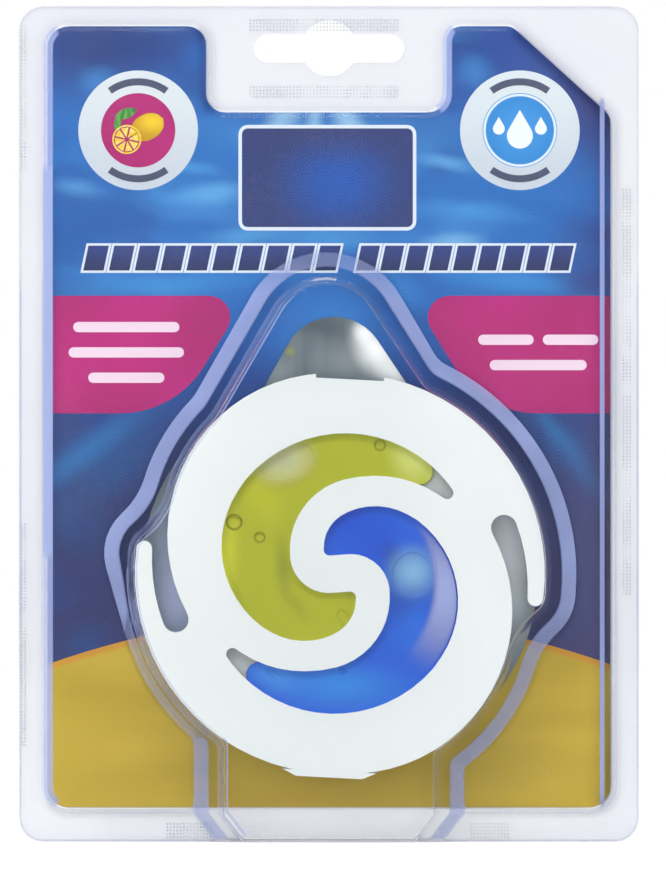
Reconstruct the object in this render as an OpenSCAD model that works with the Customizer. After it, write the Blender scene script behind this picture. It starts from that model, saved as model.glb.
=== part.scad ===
// Dishwasher freshener in its sealed hanging pack, in millimetres.
// The pack stands on its lower edge and its foot: +Z is up, the front faces -Y, and
// the card lies in the plane of X and Z. Every outline is drawn in that plane, with its
// depth measured forwards from the weld between the two clear sheets.

/* [Pack] */
// Width of the sealed pack
pack_w = 115; // [110:1:130]
// Height of the sealed pack
pack_h = 155; // [153:1:170]
// Radius of the pack's corners
pack_r = 4.5; // [2:0.5:8]
// Thickness of the clear film
film_t = 0.4; // [0.3:0.05:0.6]

/* [Hanging slot] */
// Width of the slot
slot_w = 28; // [22:1:34]
// Height of the slot at its ends
slot_h = 5.4; // [4.8:0.2:6]
// Diameter of the round rise in the middle of the slot
slot_bump_d = 10.4; // [8:0.2:11]
// From the top of the pack down to the middle of the slot
slot_drop = 7.8; // [7.4:0.2:9]

/* [Card] */
// From each side of the pack in to the card's edge
card_side = 5; // [4:0.1:7.5]
// From the pack's upper edge down to the card's
card_drop = 3.4; // [2.4:0.1:4.9]
// Thickness of the card
card_t = 0.45; // [0.3:0.05:0.7]
// Height of the card's lower edge above the pack's lower edge
card_rise = 6.1; // [5:0.1:7]
// Radius of the card's outer corners
card_r = 4.2; // [2:0.2:6]
// Width of the notch under the hanging slot
notch_w = 44; // [40:1:50]
// Depth of the notch
notch_h = 16; // [14:0.5:20]
// Radius inside the notch
notch_r = 3.2; // [1:0.2:5]
// Width of the slanting corner cut
cut_w = 18.5; // [12:0.5:24]
// Height of the slanting corner cut
cut_h = 16.8; // [12:0.2:22]

/* [Card recess in the front sheet] */
// From the card's edge out to the foot of the recess
recess_gap = 0.8; // [0.4:0.1:1.5]
// Width of the recess's sloping side
recess_slope = 2.2; // [1:0.1:3]
// Height of the recess over the flange
recess_rise = 1.5; // [1:0.1:3]
// Room between the card's face and the slope of the recess
card_room = 0.08; // [0.05:0.01:0.2]

/* [Blister] */
// Depth from the weld to the front face
blister_d = 16.8; // [16.6:0.1:24]
// Room between the blister's front edge and the freshener's rim
rim_room = 0.3; // [0.2:0.1:1]
// How much wider the main wall is at its root than at its front
draft = 0.7; // [0.3:0.1:1.5]
// Radius of the rounded edge round the front face
edge_r = 1.6; // [0.8:0.1:2.2]
// Depth at which the ledge round the main wall lies
ledge_d = 4.6; // [4:0.1:6]
// Width of the ledge
ledge_w = 1.9; // [1:0.1:3]
// Width of the skirt that slopes down from the ledge
skirt_w = 2.9; // [2:0.1:4]
// How much closer the skirt comes to the wall at the lower left
skirt_tuck = 2.4; // [0:0.1:2.6]
// Radius of the bell over the freshener, at the main wall's root
bell_r = 11.2; // [10.5:0.1:13]
// Height of the middle of the bell
bell_z = 93.6; // [92:0.1:96]
// How far the bell's middle lies to the left
bell_left = 0.6; // [0:0.1:1]

/* [Foot] */
// Width of the foot at its root
foot_w = 41; // [36:0.5:46]
// Height of the foot's sole above the pack's lower edge
foot_rise = 0.5; // [0.45:0.05:0.8]
// Width of the foot's bevelled lower corners
foot_cut_w = 4.4; // [2:0.1:6]
// Height of the foot's bevelled lower corners
foot_cut_h = 4.2; // [2:0.1:6]

/* [Freshener] */
// Height of the freshener's middle
fresh_z = 49.9; // [49.6:0.1:52]
// How far the freshener lies right of the pack's middle
fresh_x = 2; // [1:0.1:2.5]
// How far the freshener has turned clockwise in its pack, in degrees
tilt = 3; // [0:0.5:4]
// Radius of the frame
frame_r = 37; // [36.6:0.1:37.4]
// How far each arm swells out sideways
arm_swell = 0.85; // [0.5:0.05:1]
// Half width of the frame inside its arms
waist = 32.2; // [31.8:0.1:32.6]
// Height at which the frame inside an arm is widest
waist_rise = 6.9; // [6:0.1:8]
// Depth of the frame from its back edge to its front face
frame_d = 14.4; // [13:0.1:14.8]
// Thickness of the frame's front plate
plate_t = 1.5; // [1:0.1:2.5]
// Thickness of the frame's outer wall
wall_t = 1.3; // [1:0.1:1.8]
// Height of the middle of each arm's tip
tip_rise = 2.7; // [1:0.1:4]
// Radius of the round end of the gap behind each arm
gap_end_r = 2.4; // [2.1:0.05:2.6]
// Width of the lug under the frame at its root
lug_w = 17.4; // [14:0.2:20]
// Width of the lug at its end
lug_end_w = 12.2; // [8:0.2:16]
// Height of the lug
lug_h = 0.7; // [0.5:0.1:2.5]
// Width of the nick at the top of the frame
nick_w = 12.6; // [8:0.2:16]
// Depth of the nick
nick_h = 1.1; // [0.5:0.1:1.5]
// Radius of the round end of each window's tail
tail_r = 1.15; // [1.1:0.05:1.5]

/* [Gel tray] */
// Thickness of the tray
tray_t = 0.4; // [0.3:0.05:0.5]
// Room between a chamber and its window, and between the tray and the frame
tray_room = 0.3; // [0.2:0.05:0.5]
// Radius of the round end of each chamber's tail
chamber_tail_r = 2; // [1.8:0.05:2.3]
// From the frame's front face back to the front of a chamber
chamber_sink = 0.7; // [0.4:0.1:1.4]

/* [Foil lid] */
// Thickness of the foil
foil_t = 0.1; // [0.06:0.01:0.15]
// Gap between the print and the foil
foil_gap = 0.06; // [0.03:0.01:0.1]
// Radius of the top of the peel tab
tab_r = 9.7; // [8:0.1:10.5]
// Height of the middle of the peel tab's top
tab_z = 87.7; // [86:0.1:89]
// Half width of the peel tab at its root under the frame
tab_root = 14.4; // [12:0.1:15]
// How far the tab's root lies right of its top
tab_lean = 0.7; // [0:0.1:1.5]
// From the frame's rim in to the foil's edge
foil_in = 1; // [0.5:0.1:2]

/* [Print] */
// Thickness of one layer of print
ink_t = 0.03; // [0.02:0.005:0.04]
// White border left round the print
bleed = 0.35; // [0.2:0.05:0.6]
// Radius of the yellow field's upper edge
field_r = 155; // [130:1:200]
// Height of the top of the yellow field
field_top = 42; // [38:0.5:46]
// Width of the framed panel
panel_w = 33; // [28:0.5:38]
// Height of the framed panel
panel_h = 19.6; // [16:0.2:22]
// From the card's upper edge down to the panel's middle
panel_drop = 28.4; // [26.6:0.1:29.6]
// Width of the panel's white border
panel_border = 0.65; // [0.4:0.05:1]
// Radius of the two round badges
badge_r = 11.1; // [9:0.1:11.5]
// Radius of the coloured disc in each badge
badge_disc_r = 6.9; // [5:0.1:8]
// From the card's side in to each badge's middle
badge_side = 17.1; // [16.5:0.1:18.5]
// From the card's upper edge down to the badges' middles
badge_drop = 19.6; // [18.6:0.1:21.6]
// Height of the strip of slanting blocks
title_h = 4.6; // [3:0.1:5.2]
// From the card's upper edge down to the strip's middle
title_drop = 43.3; // [42.6:0.1:44.1]
// Width of the white edge round each block
title_edge = 0.5; // [0.3:0.05:0.7]
// From the card's upper edge down to the flashes
flash_drop = 50.3; // [49.6:0.1:51.1]
// Height of the flashes
flash_h = 21.8; // [19:0.1:23]
// Distance from the card's middle to the tip of each flash
flash_gap = 18.3; // [17.5:0.1:20]
// Length of the longest bar on a flash
line_w = 21.4; // [18:0.2:23]
// Thickness of the bars on the flashes
line_t = 1.9; // [1.4:0.1:2.4]
// Distance between two bars on a flash
line_pitch = 4.7; // [4:0.1:5.5]
// From the card's side in to the middle of the bars
line_side = 14.9; // [13.9:0.2:15.9]
// From a flash's upper edge down to the middle of its bars
line_drop = 10.5; // [9.5:0.1:11.5]

/* [Hidden] */

$fn = 96;
// How far a chord of a drawn outline may cut inside its curve
chord_gap = 0.04;
// Overlap that lets one cut pass clear of a face
past = 0.5;

// Y of the weld, which puts the part's middle depth on the origin
weld_y = (blister_d - film_t) / 2;

// Depths of the layers, forwards from the weld
print_d = card_t;
second_print_d = print_d + ink_t;
third_print_d = second_print_d + ink_t;
foil_d = third_print_d + ink_t + foil_gap;
tray_d = foil_d + foil_t;
frame_back_d = tray_d + foil_gap;
frame_front_d = frame_back_d + frame_d;
chamber_front_d = frame_front_d - chamber_sink;
recess_d = film_t + recess_rise;
riser = card_t + card_room;

// The card
card_w = pack_w - 2 * card_side;
card_left = -card_w / 2;
card_right = card_w / 2;
card_top = pack_h - card_drop;
notch_x = 0.5;

// Heights of the print
panel_z = card_top - panel_drop;
badge_z = card_top - badge_drop;
title_z = card_top - title_drop;
flash_z = card_top - flash_drop;
line_z = flash_z - line_drop;
badge_x = card_w / 2 - badge_side;
line_x = card_w / 2 - line_side;

// The frame's curves, in its own axes: the arc inside an arm touches the outer arc
waist_in = waist - arm_swell;
spiral_r = (pow(frame_r, 2) - pow(waist_in, 2) - pow(waist_rise, 2)) / (2 * (frame_r - waist_in));
spiral_middle = [spiral_r - waist, waist_rise];
arm_middle = [-arm_swell, 0];
arm_inner_r = frame_r - 3;
arm_inner_middle = [-arm_swell, 2.6];
tip_outer = -arm_swell - sqrt(pow(frame_r, 2) - pow(tip_rise, 2));
tip_inner = arm_inner_middle[0] - sqrt(pow(arm_inner_r, 2) - pow(tip_rise - arm_inner_middle[1], 2));
tip_r = (tip_inner - tip_outer) / 2;
tip_middle = [(tip_inner + tip_outer) / 2, tip_rise];
gap_end = meet(spiral_middle, spiral_r + gap_end_r, arm_inner_middle, arm_inner_r - gap_end_r, -1);
gap_top = heading(spiral_middle - arm_middle);
gap_foot = heading(gap_end - spiral_middle);

// Each window is a comma: circles that its edge wraps round, as [x, z, radius].
// A radius below nought is a hollow, with its middle outside the window.
comma_belly = [-0.9, -1.9, 24.05];
comma_hollow = [-6.77, 2.83, -21.23];
comma_turns = [
    [3.51, -4.92, 18.6],
    [6.52, 0.34, 12.45],
    [3.64, 5.1, 6.85],
    [-2.08, 4.35, 1.15],
    [2.18, -3.51, -7.23],
    [-3.89, -4.63, -13.36],
    [-5.39, -2.02, -16.25]
];

// The largest bubble in each gel, as [x, z, radius, depth]
yellow_bubble = [-9.6, 20.2, 3.6, 2.5];
blue_bubble = [13.4, -0.6, 3.6, 2.5];

// How far each part of the blister's wall stands out from the freshener
front_out = rim_room + film_t;
root_out = front_out + draft;
ledge_out = root_out + ledge_w;
skirt_out = ledge_out + skirt_w;
flare_r = 15;
arm_round_r = 4;
arm_round_z = tip_rise - 0.8;
bell_left_hollow = 8;
bell_right_hollow = 5;
foot_hollow = 1.5;
foot_corner_r = 1.2;
blister_middle = [0, 55];
edge_steps = 3;

// Where two circles cross, on the chosen side of the line between their middles
function meet(a, a_r, b, b_r, side) =
    let (
        v = b - a,
        d = norm(v),
        along = (pow(a_r, 2) - pow(b_r, 2) + pow(d, 2)) / (2 * d),
        off = sqrt(max(0, pow(a_r, 2) - pow(along, 2)))
    )
    a + v / d * along + side * off * [-v[1], v[0]] / d;

// A point of the freshener's own axes, in the pack's
function placed(p) = [
    fresh_x + p[0] * cos(tilt) + p[1] * sin(tilt),
    fresh_z - p[0] * sin(tilt) + p[1] * cos(tilt)
];
function opposite(p) = [-p[0], -p[1]];

// The direction of v, in degrees from 0 to 360
function heading(v) = full_turn(atan2(v[1], v[0]));

// Points along part of a circle, from one angle to another
function arc(middle, r, from, to) =
    let (steps = arc_steps(to - from, r))
    [for (t = [0:steps]) middle + r * [cos(from + (to - from) * t / steps), sin(from + (to - from) * t / steps)]];

function wheel(p, r) = [p[0], p[1], r];
function middle(w) = [w[0], w[1]];

// A belt wraps round wheels in turn, anticlockwise. This is the angle of the outward
// normal where it leaves wheel a for wheel b.
function lean(a, b) =
    let (v = middle(b) - middle(a), share = (a[2] - b[2]) / norm(v))
    atan2(v[1], v[0]) - acos(max(-1, min(1, share)));
function full_turn(angle) = angle - 360 * floor(angle / 360);
function swing(from, to, outside) =
    let (s = outside ? full_turn(to - from) : -full_turn(from - to))
    abs(s) > 330 ? 0 : s;
function arc_steps(s, r) =
    max(1, ceil(abs(s) / 2 / acos(1 - min(0.3, chord_gap / abs(r)))));
function belt_point(w, angle, grow) = middle(w) + (w[2] + grow) * [cos(angle), sin(angle)];

// The belt's points, with the ends of each arc: for outlines with a straight run
// between every two wheels
function belt(wheels, grow = 0) =
    let (n = len(wheels))
    [
        for (k = [0:n - 1])
            let (
                w = wheels[k],
                start = lean(wheels[(k + n - 1) % n], w),
                s = swing(start, lean(w, wheels[(k + 1) % n]), w[2] > 0),
                steps = arc_steps(s, w[2])
            )
            for (t = [0:steps]) belt_point(w, start + s * t / steps, grow)
    ];

// The same with points inside each arc only, so that arcs that touch share none
function smooth_belt(wheels, grow = 0) =
    let (n = len(wheels))
    [
        for (k = [0:n - 1])
            let (
                w = wheels[k],
                start = lean(wheels[(k + n - 1) % n], w),
                s = swing(start, lean(w, wheels[(k + 1) % n]), w[2] > 0),
                steps = arc_steps(s, w[2])
            )
            for (t = [0:steps - 1]) belt_point(w, start + s * (t + 0.5) / steps, grow)
    ];

// The wheel that rounds a corner p between its neighbours a and b
function corner(a, p, b, r) =
    let (
        u = (a - p) / norm(a - p),
        v = (b - p) / norm(b - p),
        half = acos(u * v) / 2,
        outside = cross(p - a, b - p) > 0
    )
    wheel(p + (u + v) / norm(u + v) * r / sin(half), outside ? r : -r);
function rounded(points, radii) =
    let (n = len(points))
    [for (k = [0:n - 1]) corner(points[(k + n - 1) % n], points[k], points[(k + 1) % n], radii[k])];
function box_points(w, h) = [[-w / 2, -h / 2], [w / 2, -h / 2], [w / 2, h / 2], [-w / 2, h / 2]];

// The card's outline
card_points = [
    [card_left, card_rise],
    [card_right, card_rise],
    [card_right, card_top - cut_h],
    [card_right - cut_w, card_top],
    [notch_w / 2 - notch_x, card_top],
    [notch_w / 2 - notch_x, card_top - notch_h],
    [-notch_w / 2 - notch_x, card_top - notch_h],
    [-notch_w / 2 - notch_x, card_top],
    [card_left, card_top]
];
card_radii = [card_r, card_r, 3, 3, 3, notch_r, notch_r, 3.8, card_r];
card_wheels = rounded(card_points, card_radii);

// The comma's wheels, with a tail of the given radius
function comma(tail) = concat(
    [
        wheel(
            meet(middle(comma_belly), comma_belly[2] - tail, middle(comma_hollow), tail - comma_hollow[2], 1),
            tail
        ),
        comma_belly
    ],
    comma_turns,
    [comma_hollow]
);

// The blister's wall where it stands out from the freshener by out, with its sole at
// height sole, and tucked in at the lower left: one wheel for each turn of the wall
function wall_wheels(out, sole, tuck) =
    let (
        wide = out - root_out,
        right_arc = placed(opposite(spiral_middle)),
        left_arc = placed(spiral_middle),
        arc_r = spiral_r + out,
        right_rim = placed(opposite(arm_middle)),
        left_rim = placed(arm_middle),
        rim = frame_r + out,
        low_rim = rim - tuck,
        arm_r = arm_round_r + out,
        left_arm = placed([-(rim - arm_r) - arm_swell, arm_round_z]),
        right_arm = placed([rim - arm_r + arm_swell, -arm_round_z]),
        bell = [-bell_left, bell_z],
        foot_x = foot_w / 2 + wide,
        foot_corner = foot_x - foot_cut_w
    )
    [
        wheel([-foot_corner, sole + foot_corner_r], foot_corner_r),
        wheel([foot_corner, sole + foot_corner_r], foot_corner_r),
        wheel([foot_x - foot_corner_r, sole + foot_cut_h + foot_corner_r], foot_corner_r),
        wheel(
            [
                foot_x + foot_hollow,
                right_arc[1] - sqrt(pow(arc_r + foot_hollow, 2) - pow(foot_x + foot_hollow - right_arc[0], 2))
            ],
            -foot_hollow
        ),
        wheel(right_arc, arc_r),
        wheel(meet(right_arc, arc_r + flare_r, right_arm, arm_r + flare_r, -1), -flare_r),
        wheel(right_arm, arm_r),
        wheel(right_rim, rim),
        wheel(right_rim + (rim + bell_right_hollow) * [cos(64), sin(64)], -bell_right_hollow),
        wheel(bell, bell_r + wide),
        wheel(left_arc + (arc_r + bell_left_hollow) * [cos(136), sin(136)], -bell_left_hollow),
        wheel(left_arc, arc_r),
        wheel(meet(left_arc, arc_r + flare_r, left_arm, arm_r + flare_r, -1), -flare_r),
        wheel(left_arm, arm_r),
        wheel(left_rim, low_rim),
        wheel(
            [
                -foot_x - foot_hollow,
                left_rim[1] - sqrt(pow(low_rim + foot_hollow, 2) - pow(foot_x + foot_hollow + left_rim[0], 2))
            ],
            -foot_hollow
        ),
        wheel([-foot_x + foot_corner_r, sole + foot_cut_h + foot_corner_r], foot_corner_r)
    ];
// Points on each wheel of the wall, the same at every depth
wall_steps = [2, 2, 2, 3, 6, 3, 4, 10, 3, 10, 3, 6, 3, 4, 10, 3, 2];
function wall_ring(out, sole, tuck, depth) =
    let (wheels = wall_wheels(out, sole, tuck), n = len(wheels))
    [
        for (k = [0:n - 1])
            let (
                w = wheels[k],
                start = lean(wheels[(k + n - 1) % n], w),
                s = swing(start, lean(w, wheels[(k + 1) % n]), w[2] > 0)
            )
            for (t = [0:wall_steps[k] - 1])
                let (p = belt_point(w, start + s * (t + 0.5) / wall_steps[k], 0))
                [p[0], weld_y - depth, p[1]]
    ];

// Rings of the whole blister as a solid, thinner by inset all over for its hollow
function blister_rings(inset, root_depth) =
    let (
        front = blister_d - inset,
        r = edge_r - inset,
        sole = foot_rise + inset,
        front_edge = front_out - inset
    )
    concat(
        [
            wall_ring(skirt_out - inset, sole - 0.15, skirt_tuck, root_depth),
            wall_ring(skirt_out - inset, sole - 0.15, skirt_tuck, recess_d - inset - 0.2),
            wall_ring(ledge_out - inset, sole - 0.1, skirt_tuck / 2, ledge_d - inset),
            wall_ring(root_out - inset, sole - 0.05, 0, ledge_d - inset + 0.05)
        ],
        [
            for (k = [0:edge_steps])
                let (angle = 90 * k / edge_steps, in = r * (1 - cos(angle)))
                wall_ring(front_edge - in, sole + in, 0, front - r + r * sin(angle))
        ]
    );

// A solid through rings of equal count, closed by a fan at each end
module loft(rings, low_tip, high_tip) {
    n = len(rings[0]);
    last = len(rings) - 1;
    points = concat([low_tip, high_tip], [for (ring = rings) each ring]);
    sides = [
        for (k = [0:last - 1])
            for (i = [0:n - 1])
                let (
                    a = 2 + k * n + i,
                    b = 2 + k * n + (i + 1) % n
                )
                each [[a, a + n, b + n], [a, b + n, b]]
    ];
    low_fan = [for (i = [0:n - 1]) [0, 2 + i, 2 + (i + 1) % n]];
    high_fan = [for (i = [0:n - 1]) [1, 2 + last * n + (i + 1) % n, 2 + last * n + i]];
    polyhedron(points, concat(sides, low_fan, high_fan), convexity = 8);
}

// A ring-shaped solid: the profile, as [growth, depth] pairs, carried round a belt
module moulding(wheels, profile) {
    rings = [for (p = profile) [for (q = belt(wheels, p[0])) [q[0], weld_y - p[1], q[1]]]];
    n = len(rings[0]);
    m = len(rings);
    faces = [
        for (k = [0:m - 1])
            for (i = [0:n - 1])
                let (
                    a = k * n + i,
                    b = k * n + (i + 1) % n,
                    c = (k + 1) % m * n + i,
                    d = (k + 1) % m * n + (i + 1) % n
                )
                each [[a, d, c], [a, b, d]]
    ];
    polyhedron([for (ring = rings) each ring], faces, convexity = 8);
}

// A flat outline raised forwards from a depth
module layer(depth, thick) {
    translate([0, weld_y - depth, 0])
    rotate([90, 0, 0])
    linear_extrude(thick)
    children();
}

module pack_outline() {
    translate([0, pack_h / 2])
    polygon(belt(rounded(box_points(pack_w, pack_h), [for (k = [0:3]) pack_r])));
}

module hanging_slot() {
    translate([0, pack_h - slot_drop]) {
        square([slot_w - slot_h, slot_h], center = true);
        for (side = [-1, 1]) translate([side * (slot_w - slot_h) / 2, 0]) circle(d = slot_h);
        circle(d = slot_bump_d);
    }
}

module card_outline(grow = 0) {
    polygon(belt(card_wheels, grow));
}

module blister_solid(inset, root_depth) {
    tip = blister_middle;
    loft(
        blister_rings(inset, root_depth),
        [tip[0], weld_y - root_depth, tip[1]],
        [tip[0], weld_y + inset - blister_d, tip[1]]
    );
}

// The clear front sheet: flange, recess for the card, skirt, ledge, wall, bell and foot
module front_blister() {
    color([0.86, 0.9, 0.95, 0.35])
    difference() {
        union() {
            layer(0, film_t) pack_outline();
            layer(0, recess_d) card_outline(recess_gap - recess_slope - past / 2);
            moulding(
                card_wheels,
                [
                    [recess_gap - recess_slope - past, 0],
                    [recess_gap - recess_slope - past, recess_d],
                    [recess_gap - recess_slope, recess_d],
                    [recess_gap, film_t + riser],
                    [recess_gap, 0]
                ]
            );
            blister_solid(0, 0);
        }
        layer(-past, recess_rise + past) card_outline(recess_gap - recess_slope - film_t - past / 2);
        moulding(
            card_wheels,
            [
                [recess_gap - recess_slope - film_t - past, -past],
                [recess_gap - recess_slope - film_t - past, recess_rise],
                [recess_gap - recess_slope - film_t, recess_rise],
                [recess_gap - film_t, riser],
                [recess_gap - film_t, -past]
            ]
        );
        blister_solid(film_t, -past);
        layer(-past, film_t + 2 * past) hanging_slot();
    }
}

// The clear back sheet, welded to the flange all round
module back_sheet() {
    color([0.86, 0.9, 0.95, 0.35])
    layer(-film_t, film_t)
    difference() {
        pack_outline();
        hanging_slot();
    }
}

module card() {
    color([0.18, 0.42, 0.72])
    layer(0, card_t) card_outline();
}

// The frame in its own axes, moved to its place in the pack
module in_place() {
    translate([fresh_x, fresh_z]) rotate(-tilt) children();
}

// Half of the frame's edge, anticlockwise from the top of one gap: the body's side of
// the gap, its round end, the arm's side, the arm's tip and the outer edge
function frame_half() = concat(
    arc(spiral_middle, spiral_r, gap_top, gap_foot),
    arc(gap_end, gap_end_r, gap_foot + 180, heading(gap_end - arm_inner_middle)),
    arc(arm_inner_middle, arm_inner_r, heading(gap_end - arm_inner_middle), heading([tip_inner, tip_rise] - arm_inner_middle)),
    arc(tip_middle, tip_r, 0, 180),
    arc(arm_middle, frame_r, heading([tip_outer, tip_rise] - arm_middle), 270),
    arc(opposite(arm_middle), frame_r, 270, gap_top + 180)
);

// The same for the round body without its arms, smaller by inset
function body_half(inset) =
    let (rim = body_rim(frame_r - inset, gap_end_r + inset))
    concat(
        arc(spiral_middle, spiral_r - inset, gap_top, gap_foot),
        arc(gap_end, gap_end_r + inset, gap_foot + 180, heading(rim - gap_end)),
        arc(arm_middle, frame_r - inset, heading(rim - arm_middle), 270),
        arc(opposite(arm_middle), frame_r - inset, 270, gap_top + 180)
    );

// Where the edge round the gap's end turns out to the body's own edge
function body_rim(body_r, end_r) =
    let (d = norm(gap_end - arm_middle))
    d + end_r > body_r
        ? meet(arm_middle, body_r, gap_end, end_r, 1)
        : gap_end + end_r * (gap_end - arm_middle) / d;

// Both halves of an outline, without the points that repeat their neighbour
function both_halves(half) =
    let (points = concat(half, [for (p = half) opposite(p)]), n = len(points))
    [for (k = [0:n - 1]) if (norm(points[k] - points[(k + 1) % n]) > 0.01) points[k]];

module frame_outline() {
    difference() {
        polygon(both_halves(frame_half()));
        translate([0, frame_r]) square([nick_w, 2 * nick_h], center = true);
    }
    polygon([
        [-lug_w / 2, past - frame_r],
        [-lug_end_w / 2, -frame_r - lug_h],
        [lug_end_w / 2, -frame_r - lug_h],
        [lug_w / 2, past - frame_r]
    ]);
}

module body_outline(inset) {
    polygon(both_halves(body_half(inset)));
}

module comma_outline(tail, grow = 0) {
    polygon(smooth_belt(comma(tail), grow));
}

module both_commas(tail, grow = 0) {
    for (turn = [0, 180]) rotate(turn) comma_outline(tail, grow);
}

// The white moulded frame: front plate with two windows, outer wall and the two arms
module freshener_frame() {
    color([0.95, 0.96, 0.97])
    difference() {
        layer(frame_back_d, frame_d)
        in_place()
        difference() {
            frame_outline();
            both_commas(tail_r);
        }
        layer(frame_back_d - past, frame_d - plate_t + past) in_place() body_outline(wall_t);
    }
}

module tray_outline() {
    body_outline(wall_t + tray_room);
}

// One chamber, or the gel in it, between two depths
module chamber(turn, back, front, grow) {
    layer(back, front - back) in_place() rotate(turn) comma_outline(chamber_tail_r, grow);
}

// The clear tray: a flat rim against the foil and two comma-shaped chambers
module gel_tray() {
    color([0.8, 0.88, 0.95, 0.4])
    difference() {
        union() {
            layer(tray_d, tray_t) in_place() tray_outline();
            for (turn = [0, 180]) chamber(turn, tray_d, chamber_front_d, -tray_room);
        }
        for (turn = [0, 180]) chamber(turn, tray_d - past, chamber_front_d - tray_t, -tray_room - tray_t);
    }
}

// The gel that fills a chamber, with a round air bubble left under the chamber's front
module gel(turn, bubble) {
    front = chamber_front_d - tray_t;
    middle = placed([bubble[0], bubble[1]]);
    difference() {
        chamber(turn, tray_d, front, -tray_room - tray_t);
        layer(front - bubble[3], bubble[3] + past) translate(middle) circle(bubble[2]);
    }
}

module yellow_gel() {
    color([0.72, 0.72, 0.18]) gel(180, yellow_bubble);
}

module blue_gel() {
    color([0.16, 0.42, 0.84]) gel(0, blue_bubble);
}

// The foil lid: it closes the tray, lies under the whole frame, so that it shows in the
// gaps behind the arms, and its peel tab stands out over the top
module foil_lid() {
    root_r = 1.5;
    tab_x = 0.9;
    root_z = fresh_z + frame_r - 7;
    color([0.66, 0.7, 0.73])
    layer(foil_d, foil_t) {
        in_place() polygon(belt([
            wheel(arm_middle, frame_r - foil_in),
            wheel(opposite(arm_middle), frame_r - foil_in)
        ]));
        polygon(belt([
            wheel([tab_x + tab_lean - tab_root, root_z], root_r),
            wheel([tab_x + tab_lean + tab_root, root_z], root_r),
            wheel([tab_x, tab_z], tab_r)
        ]));
    }
}

// The printed fields lie on the card, each as thick as one layer of ink
module inked(depth) {
    layer(depth, ink_t)
    intersection() {
        card_outline(-bleed);
        children();
    }
}

module print_yellow_field() {
    color([0.75, 0.66, 0.22])
    inked(print_d) translate([0, field_top - field_r]) circle(field_r, $fn = 360);
}

// One flash: a long tongue that runs off the card's left edge, with a blunt nose
module flash_outline() {
    nose_r = 4;
    belly_r = flash_h * 0.83;
    polygon(belt([
        wheel([card_left, flash_z - flash_h + nose_r], nose_r),
        wheel([-flash_gap - nose_r - 16.4, flash_z - flash_h + belly_r], belly_r),
        wheel([-flash_gap - nose_r, flash_z - nose_r], nose_r),
        wheel([card_left, flash_z - nose_r], nose_r)
    ]));
}

module print_left_flash() {
    color([0.71, 0.13, 0.48]) inked(print_d) flash_outline();
}

module print_right_flash() {
    color([0.71, 0.13, 0.48]) inked(print_d) mirror([1, 0]) flash_outline();
}

// A bar with round ends, centred on a point
module bar(x, z, long, thick) {
    translate([x, z]) {
        square([long - thick, thick], center = true);
        for (side = [-1, 1]) translate([side * (long - thick) / 2, 0]) circle(d = thick);
    }
}

// Plain bars on the flashes: three on the left, and two rows on the right
module print_flash_lines() {
    color([0.96, 0.93, 0.96])
    inked(second_print_d) {
        bar(-line_x, line_z + line_pitch, 0.92 * line_w, line_t);
        bar(-line_x, line_z, line_w, line_t);
        bar(-line_x, line_z - line_pitch, 0.66 * line_w, line_t);
        for (side = [-1, 1])
            bar(line_x + 1.2 + side * 0.28 * line_w, line_z + line_pitch / 2, 0.48 * line_w, line_t);
        bar(line_x + 1.2, line_z - line_pitch / 2, 0.84 * line_w, line_t);
    }
}

module panel_outline(inset) {
    panel_r = 1.7;
    translate([-bell_left / 2, panel_z])
    polygon(belt(rounded(box_points(panel_w, panel_h), [for (k = [0:3]) panel_r]), -inset));
}

module print_panel_border() {
    color([0.92, 0.95, 0.98])
    inked(print_d)
    difference() {
        panel_outline(0);
        panel_outline(panel_border);
    }
}

module print_panel() {
    color([0.16, 0.25, 0.48])
    inked(print_d) panel_outline(panel_border);
}

// Two rows of slanting blocks, as [left end, right end, blocks]
title_rows = [[-45.6, 2.2, 10], [5, 45.4, 9]];
title_slant = 12;
title_gap = 1;

module title_blocks(grow) {
    for (row = title_rows)
        let (pitch = (row[1] - row[0]) / row[2])
        for (k = [0:row[2] - 1])
            let (
                x = row[0] + (k + 0.5) * pitch,
                w = pitch - title_gap + 2 * grow,
                h = title_h + 2 * grow,
                lean = h / 2 * tan(title_slant)
            )
            translate([x, title_z])
            polygon([
                [-w / 2 - lean, -h / 2],
                [w / 2 - lean, -h / 2],
                [w / 2 + lean, h / 2],
                [-w / 2 + lean, h / 2]
            ]);
}

module print_title_edges() {
    color([0.92, 0.95, 0.98])
    inked(print_d) title_blocks(title_edge - 0.05);
}

module print_title_blocks() {
    color([0.14, 0.19, 0.38])
    inked(second_print_d) title_blocks(0);
}

module at_badge(side) {
    translate([side * badge_x, badge_z]) children();
}

module print_badge_rings() {
    color([0.86, 0.9, 0.92])
    inked(print_d)
    for (side = [-1, 1])
        at_badge(side)
        difference() {
            circle(badge_r);
            circle(badge_disc_r);
        }
}

// Short curved bars above and below each badge's disc
module print_badge_marks() {
    mark_r = (badge_r + badge_disc_r) / 2;
    mark_t = 1.3;
    color([0.25, 0.28, 0.4])
    inked(second_print_d)
    for (side = [-1, 1])
        at_badge(side)
        for (up = [-90, 90])
            intersection() {
                difference() {
                    circle(mark_r + mark_t / 2);
                    circle(mark_r - mark_t / 2);
                }
                rotate(up) polygon([[0, 0], 2 * badge_r * [1, -0.72], 2 * badge_r * [1, 0.72]]);
            }
}

module print_left_disc() {
    color([0.71, 0.13, 0.42]) inked(print_d) at_badge(-1) circle(badge_disc_r);
}

module print_right_disc() {
    color([0.23, 0.57, 0.85]) inked(print_d) at_badge(1) circle(badge_disc_r);
}

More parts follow.
